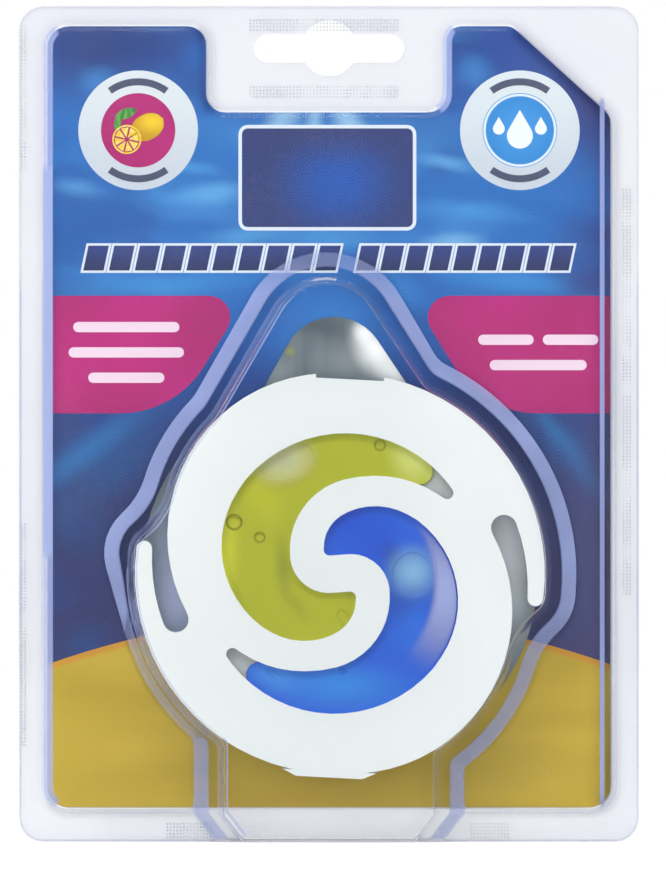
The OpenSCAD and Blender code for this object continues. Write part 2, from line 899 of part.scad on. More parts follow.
// A whole lemon: an ellipse of arcs with a small tip at each end
module print_lemon() {
    color([0.96, 0.8, 0.14])
    inked(second_print_d)
    at_badge(-1)
    translate([1.7, 0.6])
    rotate(28)
    polygon(smooth_belt([
        wheel([-1.1, 0], 2.1),
        wheel([0, 4.2], 6.6),
        wheel([1.1, 0], 2.1),
        wheel([2.9, 0], 0.45),
        wheel([1.1, 0], 2.1),
        wheel([0, -4.2], 6.6)
    ]));
}

// A cut slice: a ring of rind with eight wedges
module print_lemon_slice() {
    slice_r = 2.7;
    color([0.98, 0.88, 0.35])
    inked(third_print_d)
    at_badge(-1)
    translate([-2.1, -1.7]) {
        difference() {
            circle(slice_r);
            circle(slice_r - 0.3);
        }
        for (k = [0:7])
            rotate(45 * k + 10)
            polygon([[0.35, 0], [slice_r - 0.55, -0.72], [slice_r - 0.5, 0], [slice_r - 0.55, 0.72]]);
    }
}

// A leaf is what two circles share
module leaf(long, wide) {
    r = (pow(long / 2, 2) + pow(wide / 2, 2)) / wide;
    intersection() {
        translate([0, r - wide / 2]) circle(r);
        translate([0, wide / 2 - r]) circle(r);
    }
}

module print_leaves() {
    color([0.32, 0.58, 0.24])
    inked(second_print_d)
    at_badge(-1) {
        translate([-2.3, 3.1]) rotate(20) leaf(4.4, 1.9);
        translate([-3.8, 1.4]) rotate(75) leaf(3, 1.3);
    }
}

// One drop: a circle drawn up to a point
module drop(r) {
    circle(r);
    polygon([[-r * cos(30), r * sin(30)], [r * cos(30), r * sin(30)], [0, 2 * r]]);
}

module print_drops() {
    color([0.95, 0.97, 0.99])
    inked(second_print_d)
    at_badge(1) {
        translate([0, -1]) drop(2.4);
        translate([-3.9, 0.3]) drop(1.1);
        translate([3.9, 0.3]) drop(1.1);
    }
}

front_blister();
back_sheet();
card();
freshener_frame();
gel_tray();
yellow_gel();
blue_gel();
foil_lid();
print_yellow_field();
print_left_flash();
print_right_flash();
print_flash_lines();
print_panel_border();
print_panel();
print_title_edges();
print_title_blocks();
print_badge_rings();
print_badge_marks();
print_left_disc();
print_right_disc();
print_lemon();
print_lemon_slice();
print_leaves();
print_drops();
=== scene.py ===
# %% [markdown]
# # A dishwasher freshener in its blister pack
# The real thing is a printed card between two clear sheets that are welded all round.
# The front sheet is drawn out over a round white freshener with two comma-shaped windows,
# and yellow and blue gel shows in them. This script dresses the measured model that comes
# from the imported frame: it keeps the solids that already look right, and remodels the ones
# that need soft edges, finer curves or a surface relief.

# %% Load the frame
import cmath
import math

import bpy
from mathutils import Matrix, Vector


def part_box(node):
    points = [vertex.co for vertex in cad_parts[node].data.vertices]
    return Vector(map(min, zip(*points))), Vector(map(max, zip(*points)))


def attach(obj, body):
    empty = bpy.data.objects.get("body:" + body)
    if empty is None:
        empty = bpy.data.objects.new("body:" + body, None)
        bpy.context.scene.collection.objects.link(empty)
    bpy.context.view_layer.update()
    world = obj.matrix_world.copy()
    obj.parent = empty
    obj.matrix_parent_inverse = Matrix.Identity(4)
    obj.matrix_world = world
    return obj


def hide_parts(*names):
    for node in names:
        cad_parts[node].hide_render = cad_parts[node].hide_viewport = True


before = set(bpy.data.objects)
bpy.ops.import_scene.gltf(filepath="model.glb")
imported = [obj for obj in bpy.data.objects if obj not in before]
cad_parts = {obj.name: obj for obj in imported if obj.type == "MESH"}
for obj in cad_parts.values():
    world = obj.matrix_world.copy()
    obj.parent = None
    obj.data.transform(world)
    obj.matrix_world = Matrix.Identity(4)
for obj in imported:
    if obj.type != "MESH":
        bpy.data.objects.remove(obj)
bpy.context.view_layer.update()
bpy.ops.object.select_all(action="DESELECT")

MM = 0.001

# %% [markdown]
# ## Camera
# The photograph is taken straight on, from far away. A long lens three metres off gives the
# same flat view. One pixel of the photograph is 0.185 mm on the card, and the pack's lower
# edge and middle lie at known pixels, which gives the point that the camera looks at.

# %% Put up the camera
PIXEL = 0.185 * MM
PHOTO_W = 666
PHOTO_H = 882
PACK_MIDDLE_PX = 329
PACK_FOOT_PX = 843
CAMERA_FAR = 3.0
SENSOR = 36.0

aim_x = (PHOTO_W / 2 - PACK_MIDDLE_PX) * PIXEL
aim_z = (PACK_FOOT_PX - PHOTO_H / 2) * PIXEL
bpy.ops.object.camera_add(location=(aim_x, -CAMERA_FAR, aim_z), rotation=(math.radians(90), 0, 0))
camera = bpy.context.object
camera.name = "straight_on_camera"
camera.data.sensor_width = SENSOR
camera.data.lens = SENSOR * CAMERA_FAR / (PHOTO_H * PIXEL)
bpy.context.scene.camera = camera
print("camera looks at", round(aim_x / MM, 2), round(aim_z / MM, 2), "lens", round(camera.data.lens, 1))

# %% [markdown]
# ## Light, floor and background
# A pack shot is lit by large soft boxes in a white room. Two tall boxes stand at the sides,
# where the bent film can mirror them, and one hangs in front above the camera. The world is
# a plain grey for the light it gives, and white where the camera, a shiny surface or clear
# film looks at it. The floor is lifted to white in the same way and keeps its shadow.

# %% Light the scene
WORLD_LIGHT = 0.66
FLOOR_LIFT = 0.5

def soft_box(name, place, wide, high, power):
    bpy.ops.object.light_add(type="AREA", location=place)
    lamp = bpy.context.object
    lamp.name = name
    lamp.data.shape = "RECTANGLE"
    lamp.data.size = wide
    lamp.data.size_y = high
    lamp.data.energy = power
    towards = Vector((0, 0, 0.075)) - lamp.location
    lamp.rotation_euler = towards.to_track_quat("-Z", "Y").to_euler()
    return lamp

soft_box("left_box", (-1.1, -0.9, 0.35), 0.5, 1.0, 6.5)
soft_box("right_box", (1.2, -0.8, 0.3), 0.4, 1.0, 5.5)
soft_box("front_box", (-0.3, -1.5, 1.7), 1.2, 0.6, 14)

# %% White where it is looked at
def seen_directly(tree):
    """1 for a ray from the camera, off a shiny surface or through clear film."""
    path = tree.nodes.new("ShaderNodeLightPath")
    total = None
    for ray in ("Is Camera Ray", "Is Glossy Ray", "Is Transmission Ray"):
        if total is None:
            total = path.outputs[ray]
            continue
        larger = tree.nodes.new("ShaderNodeMath")
        larger.operation = "MAXIMUM"
        tree.links.new(total, larger.inputs[0])
        tree.links.new(path.outputs[ray], larger.inputs[1])
        total = larger.outputs[0]
    return total

world = bpy.data.worlds.new("white_room")
bpy.context.scene.world = world
world.use_nodes = True
tree = world.node_tree
strength = tree.nodes.new("ShaderNodeMapRange")
strength.inputs["To Min"].default_value = WORLD_LIGHT
strength.inputs["To Max"].default_value = 1.0
tree.links.new(seen_directly(tree), strength.inputs["Value"])
tree.links.new(strength.outputs["Result"], tree.nodes["Background"].inputs["Strength"])
tree.nodes["Background"].inputs["Color"].default_value = (1, 1, 1, 1)
bpy.context.scene.view_settings.view_transform = "Standard"

bpy.ops.mesh.primitive_circle_add(vertices=64, radius=2.2, fill_type="NGON", location=(0, 0, 0))
floor = bpy.context.object
floor.name = "pale_floor"
floor_finish = bpy.data.materials.new("pale_floor")
floor_finish.use_nodes = True
tree = floor_finish.node_tree
matt = tree.nodes["Principled BSDF"]
matt.inputs["Base Color"].default_value = (0.8, 0.8, 0.8, 1)
matt.inputs["Roughness"].default_value = 0.9
matt.inputs["Specular IOR Level"].default_value = 0.0
matt.inputs["Emission Color"].default_value = (1, 1, 1, 1)
lift = tree.nodes.new("ShaderNodeMath")
lift.operation = "MULTIPLY"
lift.inputs[1].default_value = FLOOR_LIFT
tree.links.new(seen_directly(tree), lift.inputs[0])
tree.links.new(lift.outputs[0], matt.inputs["Emission Strength"])
floor.data.materials.append(floor_finish)
print("floor radius", 2.2)

# %% [markdown]
# ## Tools for modelling
# Four small helpers do what the hand does in the window: make one piece the only selected
# one, pick parts of it by a test, copy a solid of the frame as clean faces, and round its
# sharp edges.

# %% Select and pick
def only(piece):
    bpy.ops.object.select_all(action="DESELECT")
    piece.select_set(True)
    bpy.context.view_layer.objects.active = piece

def pick(piece, kind, test):
    """Go into edit mode with the parts that pass the test selected."""
    only(piece)
    bpy.ops.object.mode_set(mode="EDIT")
    bpy.ops.mesh.select_mode(type=kind)
    bpy.ops.mesh.select_all(action="DESELECT")
    bpy.ops.object.mode_set(mode="OBJECT")
    parts = {"VERT": piece.data.vertices, "EDGE": piece.data.edges, "FACE": piece.data.polygons}[kind]
    chosen = [part for part in parts if test(part)]
    for part in chosen:
        part.select = True
    bpy.ops.object.mode_set(mode="EDIT")
    return len(chosen)

def leave_edit():
    bpy.ops.object.mode_set(mode="OBJECT")

# %% Copy a solid and round it
def clean_copy(node, name):
    """A copy of a solid of the frame, its loose triangles merged into whole faces."""
    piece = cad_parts[node].copy()
    piece.data = piece.data.copy()
    piece.name = name
    piece.parent = None
    for key in list(piece.keys()):
        del piece[key]
    bpy.context.collection.objects.link(piece)
    only(piece)
    bpy.ops.object.mode_set(mode="EDIT")
    bpy.ops.mesh.select_all(action="SELECT")
    bpy.ops.mesh.remove_doubles(threshold=0.002 * MM)
    bpy.ops.mesh.dissolve_limited(angle_limit=math.radians(0.2))
    leave_edit()
    return piece

def apply_all(piece):
    only(piece)
    for modifier in list(piece.modifiers):
        bpy.ops.object.modifier_apply(modifier=modifier.name)

def round_edges(piece, width, segments=3, angle=35):
    bevel = piece.modifiers.new("round_edges", "BEVEL")
    bevel.width = width
    bevel.segments = segments
    bevel.limit_method = "ANGLE"
    bevel.angle_limit = math.radians(angle)
    apply_all(piece)

def smooth(piece, angle=35):
    """Smooth shading in which the large flat faces stay flat."""
    only(piece)
    bpy.ops.object.shade_smooth_by_angle(angle=math.radians(angle))
    even = piece.modifiers.new("flat_faces_rule", "WEIGHTED_NORMAL")
    even.mode = "FACE_AREA"
    even.weight = 100
    even.keep_sharp = True
    apply_all(piece)

def carve(piece, tool, operation="DIFFERENCE"):
    """Cut a tool out of a piece, or join it on, and throw the tool away."""
    cut = piece.modifiers.new("carve", "BOOLEAN")
    cut.operation = operation
    cut.solver = "EXACT"
    cut.object = tool
    apply_all(piece)
    bpy.data.objects.remove(tool)

# %% [markdown]
# ## Tools for materials
# Colours are written as a screen shows them and made linear. Short helpers place nodes, so
# that a material reads like a list of what the finish is made of.

# %% Colours and nodes
def paint(code):
    parts = [int(code[k:k + 2], 16) / 255 for k in (1, 3, 5)]
    return tuple(v / 12.92 if v < 0.04045 else ((v + 0.055) / 1.055) ** 2.4 for v in parts) + (1.0,)

def plug(tree, socket, value):
    if isinstance(value, bpy.types.NodeSocket):
        tree.links.new(value, socket)
    else:
        socket.default_value = value

def maths(tree, operation, first, second=0.0, clamp=False):
    made = tree.nodes.new("ShaderNodeMath")
    made.operation = operation
    made.use_clamp = clamp
    plug(tree, made.inputs[0], first)
    plug(tree, made.inputs[1], second)
    return made.outputs[0]

def product(tree, first, *others):
    """Several values multiplied together."""
    for other in others:
        first = maths(tree, "MULTIPLY", first, other)
    return first

def blend(tree, factor, under, over, way="MIX"):
    made = tree.nodes.new("ShaderNodeMix")
    made.data_type = "RGBA"
    made.blend_type = way
    plug(tree, made.inputs[0], factor)
    plug(tree, made.inputs[6], under)
    plug(tree, made.inputs[7], over)
    return made.outputs[2]

def spread(tree, value, start, end, low=0.0, high=1.0):
    """A soft step from low to high as the value goes from start to end."""
    made = tree.nodes.new("ShaderNodeMapRange")
    made.interpolation_type = "SMOOTHSTEP"
    plug(tree, made.inputs["Value"], value)
    made.inputs["From Min"].default_value = start
    made.inputs["From Max"].default_value = end
    made.inputs["To Min"].default_value = low
    made.inputs["To Max"].default_value = high
    return made.outputs["Result"]

def object_point(tree):
    return tree.nodes.new("ShaderNodeTexCoord").outputs["Object"]

def axes(tree, vector):
    parts = tree.nodes.new("ShaderNodeSeparateXYZ")
    tree.links.new(vector, parts.inputs[0])
    return parts.outputs

def noise(tree, scale, detail=2.0, stretch=(1, 1, 1), turn=0.0):
    """Noise over the piece, in cells per metre, drawn out along an axis if asked."""
    mapping = tree.nodes.new("ShaderNodeMapping")
    mapping.inputs["Scale"].default_value = stretch
    mapping.inputs["Rotation"].default_value = (0, math.radians(turn), 0)
    tree.links.new(object_point(tree), mapping.inputs["Vector"])
    made = tree.nodes.new("ShaderNodeTexNoise")
    made.inputs["Scale"].default_value = scale
    made.inputs["Detail"].default_value = detail
    tree.links.new(mapping.outputs["Vector"], made.inputs["Vector"])
    return made.outputs["Fac"]

def ramp(tree, value, stops):
    """A colour for each place along a value: stops are pairs of place and colour code."""
    made = tree.nodes.new("ShaderNodeValToRGB")
    plug(tree, made.inputs["Fac"], value)
    band = made.color_ramp
    while len(band.elements) < len(stops):
        band.elements.new(1.0)
    for element, (place, code) in zip(band.elements, stops):
        element.position = place
        element.color = paint(code)
    return made.outputs["Color"]

def new_finish(name, roughness=0.4, specular=0.5):
    finish = bpy.data.materials.new(name)
    finish.use_nodes = True
    surface = finish.node_tree.nodes["Principled BSDF"]
    surface.inputs["Roughness"].default_value = roughness
    surface.inputs["Specular IOR Level"].default_value = specular
    return finish, finish.node_tree, surface

def relief(tree, surface, height, depth):
    bump = tree.nodes.new("ShaderNodeBump")
    bump.inputs["Distance"].default_value = depth
    bump.inputs["Strength"].default_value = 1.0
    plug(tree, bump.inputs["Height"], height)
    tree.links.new(bump.outputs["Normal"], surface.inputs["Normal"])

# %% [markdown]
# Three effects come back in many materials, so each is a node group with named sockets: a
# soft spot for glows and shadows in the print and the gels, a soft ring for bands that
# follow a circle, and the grain of ink on coated card.

# %% A soft spot
def new_group(name, inputs, outputs):
    group = bpy.data.node_groups.new(name, "ShaderNodeTree")
    for label, kind, value in inputs:
        socket = group.interface.new_socket(label, in_out="INPUT", socket_type=kind)
        socket.default_value = value
    for label, kind in outputs:
        group.interface.new_socket(label, in_out="OUTPUT", socket_type=kind)
    return group, group.nodes.new("NodeGroupInput").outputs, group.nodes.new("NodeGroupOutput").inputs

NUMBER = "NodeSocketFloat"
COLOUR = "NodeSocketColor"

spot_group, given, result = new_group(
    "soft_spot",
    [("Across", NUMBER, 0.0), ("Up", NUMBER, 0.0),
     ("Half Width", NUMBER, 0.01), ("Half Height", NUMBER, 0.01),
     ("Turn", NUMBER, 0.0), ("Ragged", NUMBER, 0.0)],
    [("Mask", NUMBER)],
)
place = axes(spot_group, object_point(spot_group))
cloud = maths(spot_group, "SUBTRACT", noise(spot_group, 90, 3.0), 0.5)
wander = product(spot_group, cloud, given["Ragged"])
across = maths(spot_group, "ADD", maths(spot_group, "SUBTRACT", place["X"], given["Across"]), wander)
up = maths(spot_group, "ADD", maths(spot_group, "SUBTRACT", place["Z"], given["Up"]), wander)
cosine = maths(spot_group, "COSINE", given["Turn"])
sine = maths(spot_group, "SINE", given["Turn"])
along = maths(spot_group, "ADD", product(spot_group, across, cosine), product(spot_group, up, sine))
aside = maths(spot_group, "SUBTRACT", product(spot_group, up, cosine), product(spot_group, across, sine))
flat_along = maths(spot_group, "POWER", maths(spot_group, "DIVIDE", along, given["Half Width"]), 2.0)
flat_aside = maths(spot_group, "POWER", maths(spot_group, "DIVIDE", aside, given["Half Height"]), 2.0)
distance = maths(spot_group, "SQRT", maths(spot_group, "ADD", flat_along, flat_aside))
plug(spot_group, result["Mask"], spread(spot_group, distance, 0.0, 1.0, 1.0, 0.0))
print("soft_spot nodes", len(spot_group.nodes))

# %% A soft ring
ring_group, given, result = new_group(
    "soft_ring",
    [("Across", NUMBER, 0.0), ("Up", NUMBER, 0.0), ("Radius", NUMBER, 0.01), ("Half Width", NUMBER, 0.001)],
    [("Mask", NUMBER)],
)
place = axes(ring_group, object_point(ring_group))
across = maths(ring_group, "POWER", maths(ring_group, "SUBTRACT", place["X"], given["Across"]), 2.0)
up = maths(ring_group, "POWER", maths(ring_group, "SUBTRACT", place["Z"], given["Up"]), 2.0)
from_middle = maths(ring_group, "SQRT", maths(ring_group, "ADD", across, up))
from_ring = maths(ring_group, "ABSOLUTE", maths(ring_group, "SUBTRACT", from_middle, given["Radius"]))
share = maths(ring_group, "DIVIDE", from_ring, given["Half Width"])
plug(ring_group, result["Mask"], spread(ring_group, share, 0.5, 1.0, 1.0, 0.0))
print("soft_ring nodes", len(ring_group.nodes))

# %% The grain of print
grain_group, given, result = new_group(
    "print_grain",
    [("Colour", COLOUR, (0.5, 0.5, 0.5, 1)), ("Strength", NUMBER, 0.1)],
    [("Colour", COLOUR), ("Height", NUMBER), ("Roughness", NUMBER)],
)
fibre = noise(grain_group, 900, 4.0)
cloud = noise(grain_group, 60, 3.0)
tone = maths(grain_group, "ADD", product(grain_group, fibre, 0.5), product(grain_group, cloud, 0.5))
swing = product(grain_group, maths(grain_group, "SUBTRACT", tone, 0.5), given["Strength"])
lighter = blend(grain_group, maths(grain_group, "MAXIMUM", swing, 0.0), given["Colour"], (1, 1, 1, 1))
down_swing = maths(grain_group, "MAXIMUM", product(grain_group, swing, -1.0), 0.0)
darker = blend(grain_group, down_swing, lighter, (0, 0, 0, 1))
plug(grain_group, result["Colour"], darker)
plug(grain_group, result["Height"], fibre)
plug(grain_group, result["Roughness"], spread(grain_group, cloud, 0.2, 0.8, 0.34, 0.46))
print("print_grain nodes", len(grain_group.nodes))

# %% Place a group in a material
def spot(tree, across, up, half_width, half_height, turn=0.0, ragged=0.0):
    """A soft spot, placed and sized in millimetres and turned in degrees."""
    made = tree.nodes.new("ShaderNodeGroup")
    made.node_tree = spot_group
    values = (across * MM, up * MM, half_width * MM, half_height * MM, math.radians(turn), ragged * MM)
    for socket, value in zip(made.inputs, values):
        socket.default_value = value
    return made.outputs["Mask"]

def lay_glows(tree, colour, glows, ragged):
    """Soft spots over a colour: across, up, half width, half height, turn, colour, strength."""
    for across, up, half_width, half_height, turn, code, strength in glows:
        glow = spot(tree, across, up, half_width, half_height, turn, ragged)
        colour = blend(tree, product(tree, glow, strength), colour, paint(code))
    return colour

def ring(tree, across, up, radius, half_width):
    made = tree.nodes.new("ShaderNodeGroup")
    made.node_tree = ring_group
    for socket, value in zip(made.inputs, (across, up, radius, half_width)):
        socket.default_value = value * MM
    return made.outputs["Mask"]

def printed(tree, surface, colour, strength=0.12, depth=0.00001):
    """Coated print: the colour with its grain, sheen and fine tooth."""
    made = tree.nodes.new("ShaderNodeGroup")
    made.node_tree = grain_group
    plug(tree, made.inputs["Colour"], colour)
    made.inputs["Strength"].default_value = strength
    tree.links.new(made.outputs["Colour"], surface.inputs["Base Color"])
    tree.links.new(made.outputs["Roughness"], surface.inputs["Roughness"])
    relief(tree, surface, made.outputs["Height"], depth)

# %% [markdown]
# ## The curves of the blister
# The drawn film follows a wall of arcs round the freshener. Each turn of the wall is a
# circle, and the wall is a belt that wraps them: a radius below nought is a hollow. Places
# on the card are complex numbers here, across plus up times i, because turning and scaling
# are then one product. All of these are in millimetres, as on the drawing of the part.

# %% Belts round wheels
def meet(a, a_r, b, b_r, side):
    """Where two circles cross, on the chosen side of the line between their middles."""
    far = abs(b - a)
    along = (a_r ** 2 - b_r ** 2 + far ** 2) / (2 * far)
    off = math.sqrt(max(0.0, a_r ** 2 - along ** 2))
    return a + (b - a) / far * complex(along, side * off)

def lean(a, b):
    """Angle of the outward normal where the belt leaves wheel a for wheel b."""
    gap = b[0] - a[0]
    share = max(-1.0, min(1.0, (a[1] - b[1]) / abs(gap)))
    return cmath.phase(gap) - math.acos(share)

def swings(wheels):
    """For each wheel, the angle where the belt meets it and how far the belt goes round it."""
    found = []
    for k, wheel in enumerate(wheels):
        start = lean(wheels[k - 1], wheel)
        turn = (lean(wheel, wheels[(k + 1) % len(wheels)]) - start) % math.tau
        if wheel[1] < 0:
            turn -= math.tau
        found.append((start, 0.0 if abs(turn) > math.radians(330) else turn))
    return found

def belt(wheels, steps, grow=0.0):
    points = []
    for wheel, (start, turn), count in zip(wheels, swings(wheels), steps):
        for t in range(count + 1):
            points.append(wheel[0] + cmath.rect(wheel[1] + grow, start + turn * t / count))
    return points

def fine_steps(wheels, chord=0.9):
    """How many straight pieces each wheel's arc needs, none of them longer than the chord."""
    arcs = [abs(turn * wheel[1]) for wheel, (start, turn) in zip(wheels, swings(wheels))]
    return [max(2, math.ceil(arc / chord)) for arc in arcs]

# %% The freshener's place and the wall round it
FRESH = complex(2.0, 49.9)
TILT = math.radians(3)
FRAME_R = 37.0
ARM_SWELL = 0.85
SPIRAL = complex(-2.238, 6.9)
SPIRAL_R = 29.96
RIM_ROOM = 0.7
DRAFT = 0.7
LEDGE_W = 1.9
SKIRT_W = 2.9
SKIRT_TUCK = 2.4
BELL = complex(-0.6, 93.6)
BELL_R = 11.2
FOOT_HALF = 20.5
FOOT_CUT = complex(4.4, 4.2)
FOOT_RISE = 0.5

def placed(point):
    """A point of the freshener's own axes, in the pack's."""
    return FRESH + point * cmath.rect(1, -TILT)

def wall_wheels(out, sole, tuck=0.0):
    """The wall where it stands out from the freshener by out, with its sole at that height."""
    wide = out - RIM_ROOM - DRAFT
    arc_r = SPIRAL_R + out
    rim = FRAME_R + out
    arm_r = 4.0 + out
    arm = complex(rim - arm_r + ARM_SWELL, -1.9)
    right_arc, left_arc = placed(-SPIRAL), placed(SPIRAL)
    right_arm, left_arm = placed(arm), placed(-arm)
    right_rim, left_rim = placed(ARM_SWELL), placed(-ARM_SWELL)
    foot = FOOT_HALF + wide
    low_rim = rim - tuck
    right_turn = right_arc.imag - math.sqrt((arc_r + 1.5) ** 2 - (foot + 1.5 - right_arc.real) ** 2)
    left_turn = left_rim.imag - math.sqrt((low_rim + 1.5) ** 2 - (foot + 1.5 + left_rim.real) ** 2)
    return [
        (complex(FOOT_CUT.real - foot, sole + 1.2), 1.2),
        (complex(foot - FOOT_CUT.real, sole + 1.2), 1.2),
        (complex(foot - 1.2, sole + FOOT_CUT.imag + 1.2), 1.2),
        (complex(foot + 1.5, right_turn), -1.5),
        (right_arc, arc_r),
        (meet(right_arc, arc_r + 15, right_arm, arm_r + 15, -1), -15),
        (right_arm, arm_r),
        (right_rim, rim),
        (right_rim + cmath.rect(rim + 5, math.radians(64)), -5),
        (BELL, BELL_R + wide),
        (left_arc + cmath.rect(arc_r + 8, math.radians(136)), -8),
        (left_arc, arc_r),
        (meet(left_arc, arc_r + 15, left_arm, arm_r + 15, -1), -15),
        (left_arm, arm_r),
        (left_rim, low_rim),
        (complex(-foot - 1.5, left_turn), -1.5),
        (complex(1.2 - foot, sole + FOOT_CUT.imag + 1.2), 1.2),
    ]

wall_steps = fine_steps(wall_wheels(RIM_ROOM + DRAFT, FOOT_RISE))
print("wall points", sum(wall_steps) + len(wall_steps))

# %% [markdown]
# ## Solids from rings
# A drawn wall is a stack of closed outlines. The hand would add a circle, lay its points on
# the first outline, extrude the loop, and lay the new loop on the next outline. `stack` does
# just that, and then closes both ends with a face.

# %% Stack outlines
WELD_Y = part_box("back_sheet")[0].y

def stack(name, outlines):
    """A closed solid through outlines of equal count, each with its depth from the weld."""
    count = len(outlines[0][0])
    bpy.ops.mesh.primitive_circle_add(vertices=count, radius=1 * MM)
    piece = bpy.context.object
    piece.name = name
    for level, (points, depth) in enumerate(outlines):
        if level:
            bpy.ops.object.mode_set(mode="EDIT")
            bpy.ops.mesh.extrude_region_move()
            leave_edit()
        for vertex, point in zip(list(piece.data.vertices)[-count:], points):
            vertex.co = (point.real * MM, WELD_Y - depth * MM, point.imag * MM)
        if level == 0:
            bpy.ops.object.mode_set(mode="EDIT")
            bpy.ops.mesh.select_mode(type="VERT")
            bpy.ops.mesh.select_all(action="SELECT")
            leave_edit()
    first = outlines[0][1]
    last = outlines[-1][1]
    for depth in (first, last):
        pick(piece, "VERT", lambda v: abs(v.co.y - WELD_Y + depth * MM) < 1e-6)
        bpy.ops.mesh.edge_face_add()
        leave_edit()
    bpy.ops.object.mode_set(mode="EDIT")
    bpy.ops.mesh.select_all(action="SELECT")
    bpy.ops.mesh.remove_doubles(threshold=0.0005 * MM)
    bpy.ops.mesh.normals_make_consistent(inside=False)
    leave_edit()
    return piece

def corner(a, p, b, r):
    """The wheel that rounds a corner between its neighbours."""
    u = (a - p) / abs(a - p)
    v = (b - p) / abs(b - p)
    half = math.acos((u * v.conjugate()).real) / 2
    outside = ((p - a).conjugate() * (b - p)).imag > 0
    return (p + (u + v) / abs(u + v) * r / math.sin(half), r if outside else -r)

def rounded(points, radii):
    count = len(points)
    return [corner(points[k - 1], points[k], points[(k + 1) % count], radii[k]) for k in range(count)]

# %% [markdown]
# ## The clear front sheet
# The real sheet is one film, heated and drawn over a mould: a flat flange, a low step over
# the card, then skirt, ledge and wall up to the front. Drawn film has no sharp edge, so the
# turns of the wall get small radii. It could be carved from a block, but the film's two faces
# would then have to match. Instead three outer forms are joined, the back is opened, and
# Solidify gives the film its thickness inwards.

# %% Outlines of card and pack
card_low, card_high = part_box("card")
pack_low, pack_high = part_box("back_sheet")
CARD_LEFT = card_low.x / MM
CARD_RIGHT = card_high.x / MM
CARD_FOOT = card_low.z / MM
CARD_TOP = card_high.z / MM
NOTCH_HALF = 22.0
NOTCH_LEFT = 0.5
NOTCH_H = 16.0
CUT = complex(18.5, 16.8)

card_wheels = rounded(
    [
        complex(CARD_LEFT, CARD_FOOT),
        complex(CARD_RIGHT, CARD_FOOT),
        complex(CARD_RIGHT, CARD_TOP - CUT.imag),
        complex(CARD_RIGHT - CUT.real, CARD_TOP),
        complex(NOTCH_HALF - NOTCH_LEFT, CARD_TOP),
        complex(NOTCH_HALF - NOTCH_LEFT, CARD_TOP - NOTCH_H),
        complex(-NOTCH_HALF - NOTCH_LEFT, CARD_TOP - NOTCH_H),
        complex(-NOTCH_HALF - NOTCH_LEFT, CARD_TOP),
        complex(CARD_LEFT, CARD_TOP),
    ],
    [4.2, 4.2, 3, 3, 3, 3.2, 3.2, 3.8, 4.2],
)
card_steps = [10] * len(card_wheels)
pack_wheels = rounded(
    [complex(x / MM, z / MM) for x, z in (
        (pack_low.x, pack_low.z), (pack_high.x, pack_low.z),
        (pack_high.x, pack_high.z), (pack_low.x, pack_high.z),
    )],
    [4.5] * 4,
)
print("card", round(CARD_RIGHT - CARD_LEFT, 2), "by", round(CARD_TOP - CARD_FOOT, 2))

# %% The three outer forms
FILM = 0.4
BLISTER_D = 16.8
LEDGE_D = 4.6
RECESS_D = 1.9
RECESS_GAP = 0.8
RECESS_SLOPE = 2.2
RECESS_FOOT_D = 0.93
EDGE_R = 1.6
EDGE_STEPS = 8

def wall(out, sole, tuck, depth):
    return (belt(wall_wheels(out, sole, tuck), wall_steps), depth)

root = RIM_ROOM + DRAFT
ledge = root + LEDGE_W
skirt = ledge + SKIRT_W
blister_outlines = [
    wall(skirt, FOOT_RISE - 0.15, SKIRT_TUCK, 0.0),
    wall(skirt, FOOT_RISE - 0.15, SKIRT_TUCK, RECESS_D - 0.2),
    wall(ledge + 0.3, FOOT_RISE - 0.12, SKIRT_TUCK * 0.55, LEDGE_D - 0.27),
    wall(ledge + 0.05, FOOT_RISE - 0.1, SKIRT_TUCK * 0.5, LEDGE_D - 0.07),
    wall(ledge - 0.25, FOOT_RISE - 0.1, SKIRT_TUCK * 0.45, LEDGE_D),
    wall(root + 0.35, FOOT_RISE - 0.06, 0.1, LEDGE_D + 0.03),
    wall(root + 0.1, FOOT_RISE - 0.05, 0.0, LEDGE_D + 0.14),
    wall(root, FOOT_RISE - 0.05, 0.0, LEDGE_D + 0.4),
]
for step in range(EDGE_STEPS + 1):
    angle = math.radians(90) * step / EDGE_STEPS
    inward = EDGE_R * (1 - math.cos(angle))
    blister_outlines.append(wall(
        RIM_ROOM - inward, FOOT_RISE + inward, 0.0, BLISTER_D - EDGE_R + EDGE_R * math.sin(angle)
    ))
film = stack("blister_film", blister_outlines)
print("blister form", len(film.data.polygons), "faces")

recess = stack("recess", [
    (belt(card_wheels, card_steps, RECESS_GAP), 0.0),
    (belt(card_wheels, card_steps, RECESS_GAP), RECESS_FOOT_D - 0.15),
    (belt(card_wheels, card_steps, RECESS_GAP - 0.25), RECESS_FOOT_D + 0.06),
    (belt(card_wheels, card_steps, RECESS_GAP - RECESS_SLOPE + 0.3), RECESS_D - 0.1),
    (belt(card_wheels, card_steps, RECESS_GAP - RECESS_SLOPE), RECESS_D - 0.02),
    (belt(card_wheels, card_steps, RECESS_GAP - RECESS_SLOPE - 0.2), RECESS_D),
])
flange = stack("flange", [
    (belt(pack_wheels, [12] * 4), 0.0),
    (belt(pack_wheels, [12] * 4), FILM - 0.08),
    (belt(pack_wheels, [12] * 4, -0.08), FILM),
])
carve(recess, flange, "UNION")
carve(film, recess, "UNION")
print("joined forms", len(film.data.polygons), "faces")

# %% Open the back and give the film its thickness
pick(film, "FACE", lambda face: abs(face.center.y - WELD_Y) < 1e-6 and face.normal.y > 0.9)
bpy.ops.mesh.delete(type="FACE")
leave_edit()
skin = film.modifiers.new("film_thickness", "SOLIDIFY")
skin.thickness = FILM * MM
skin.offset = -1
skin.use_even_offset = True
apply_all(film)
print("film", len(film.data.polygons), "faces")

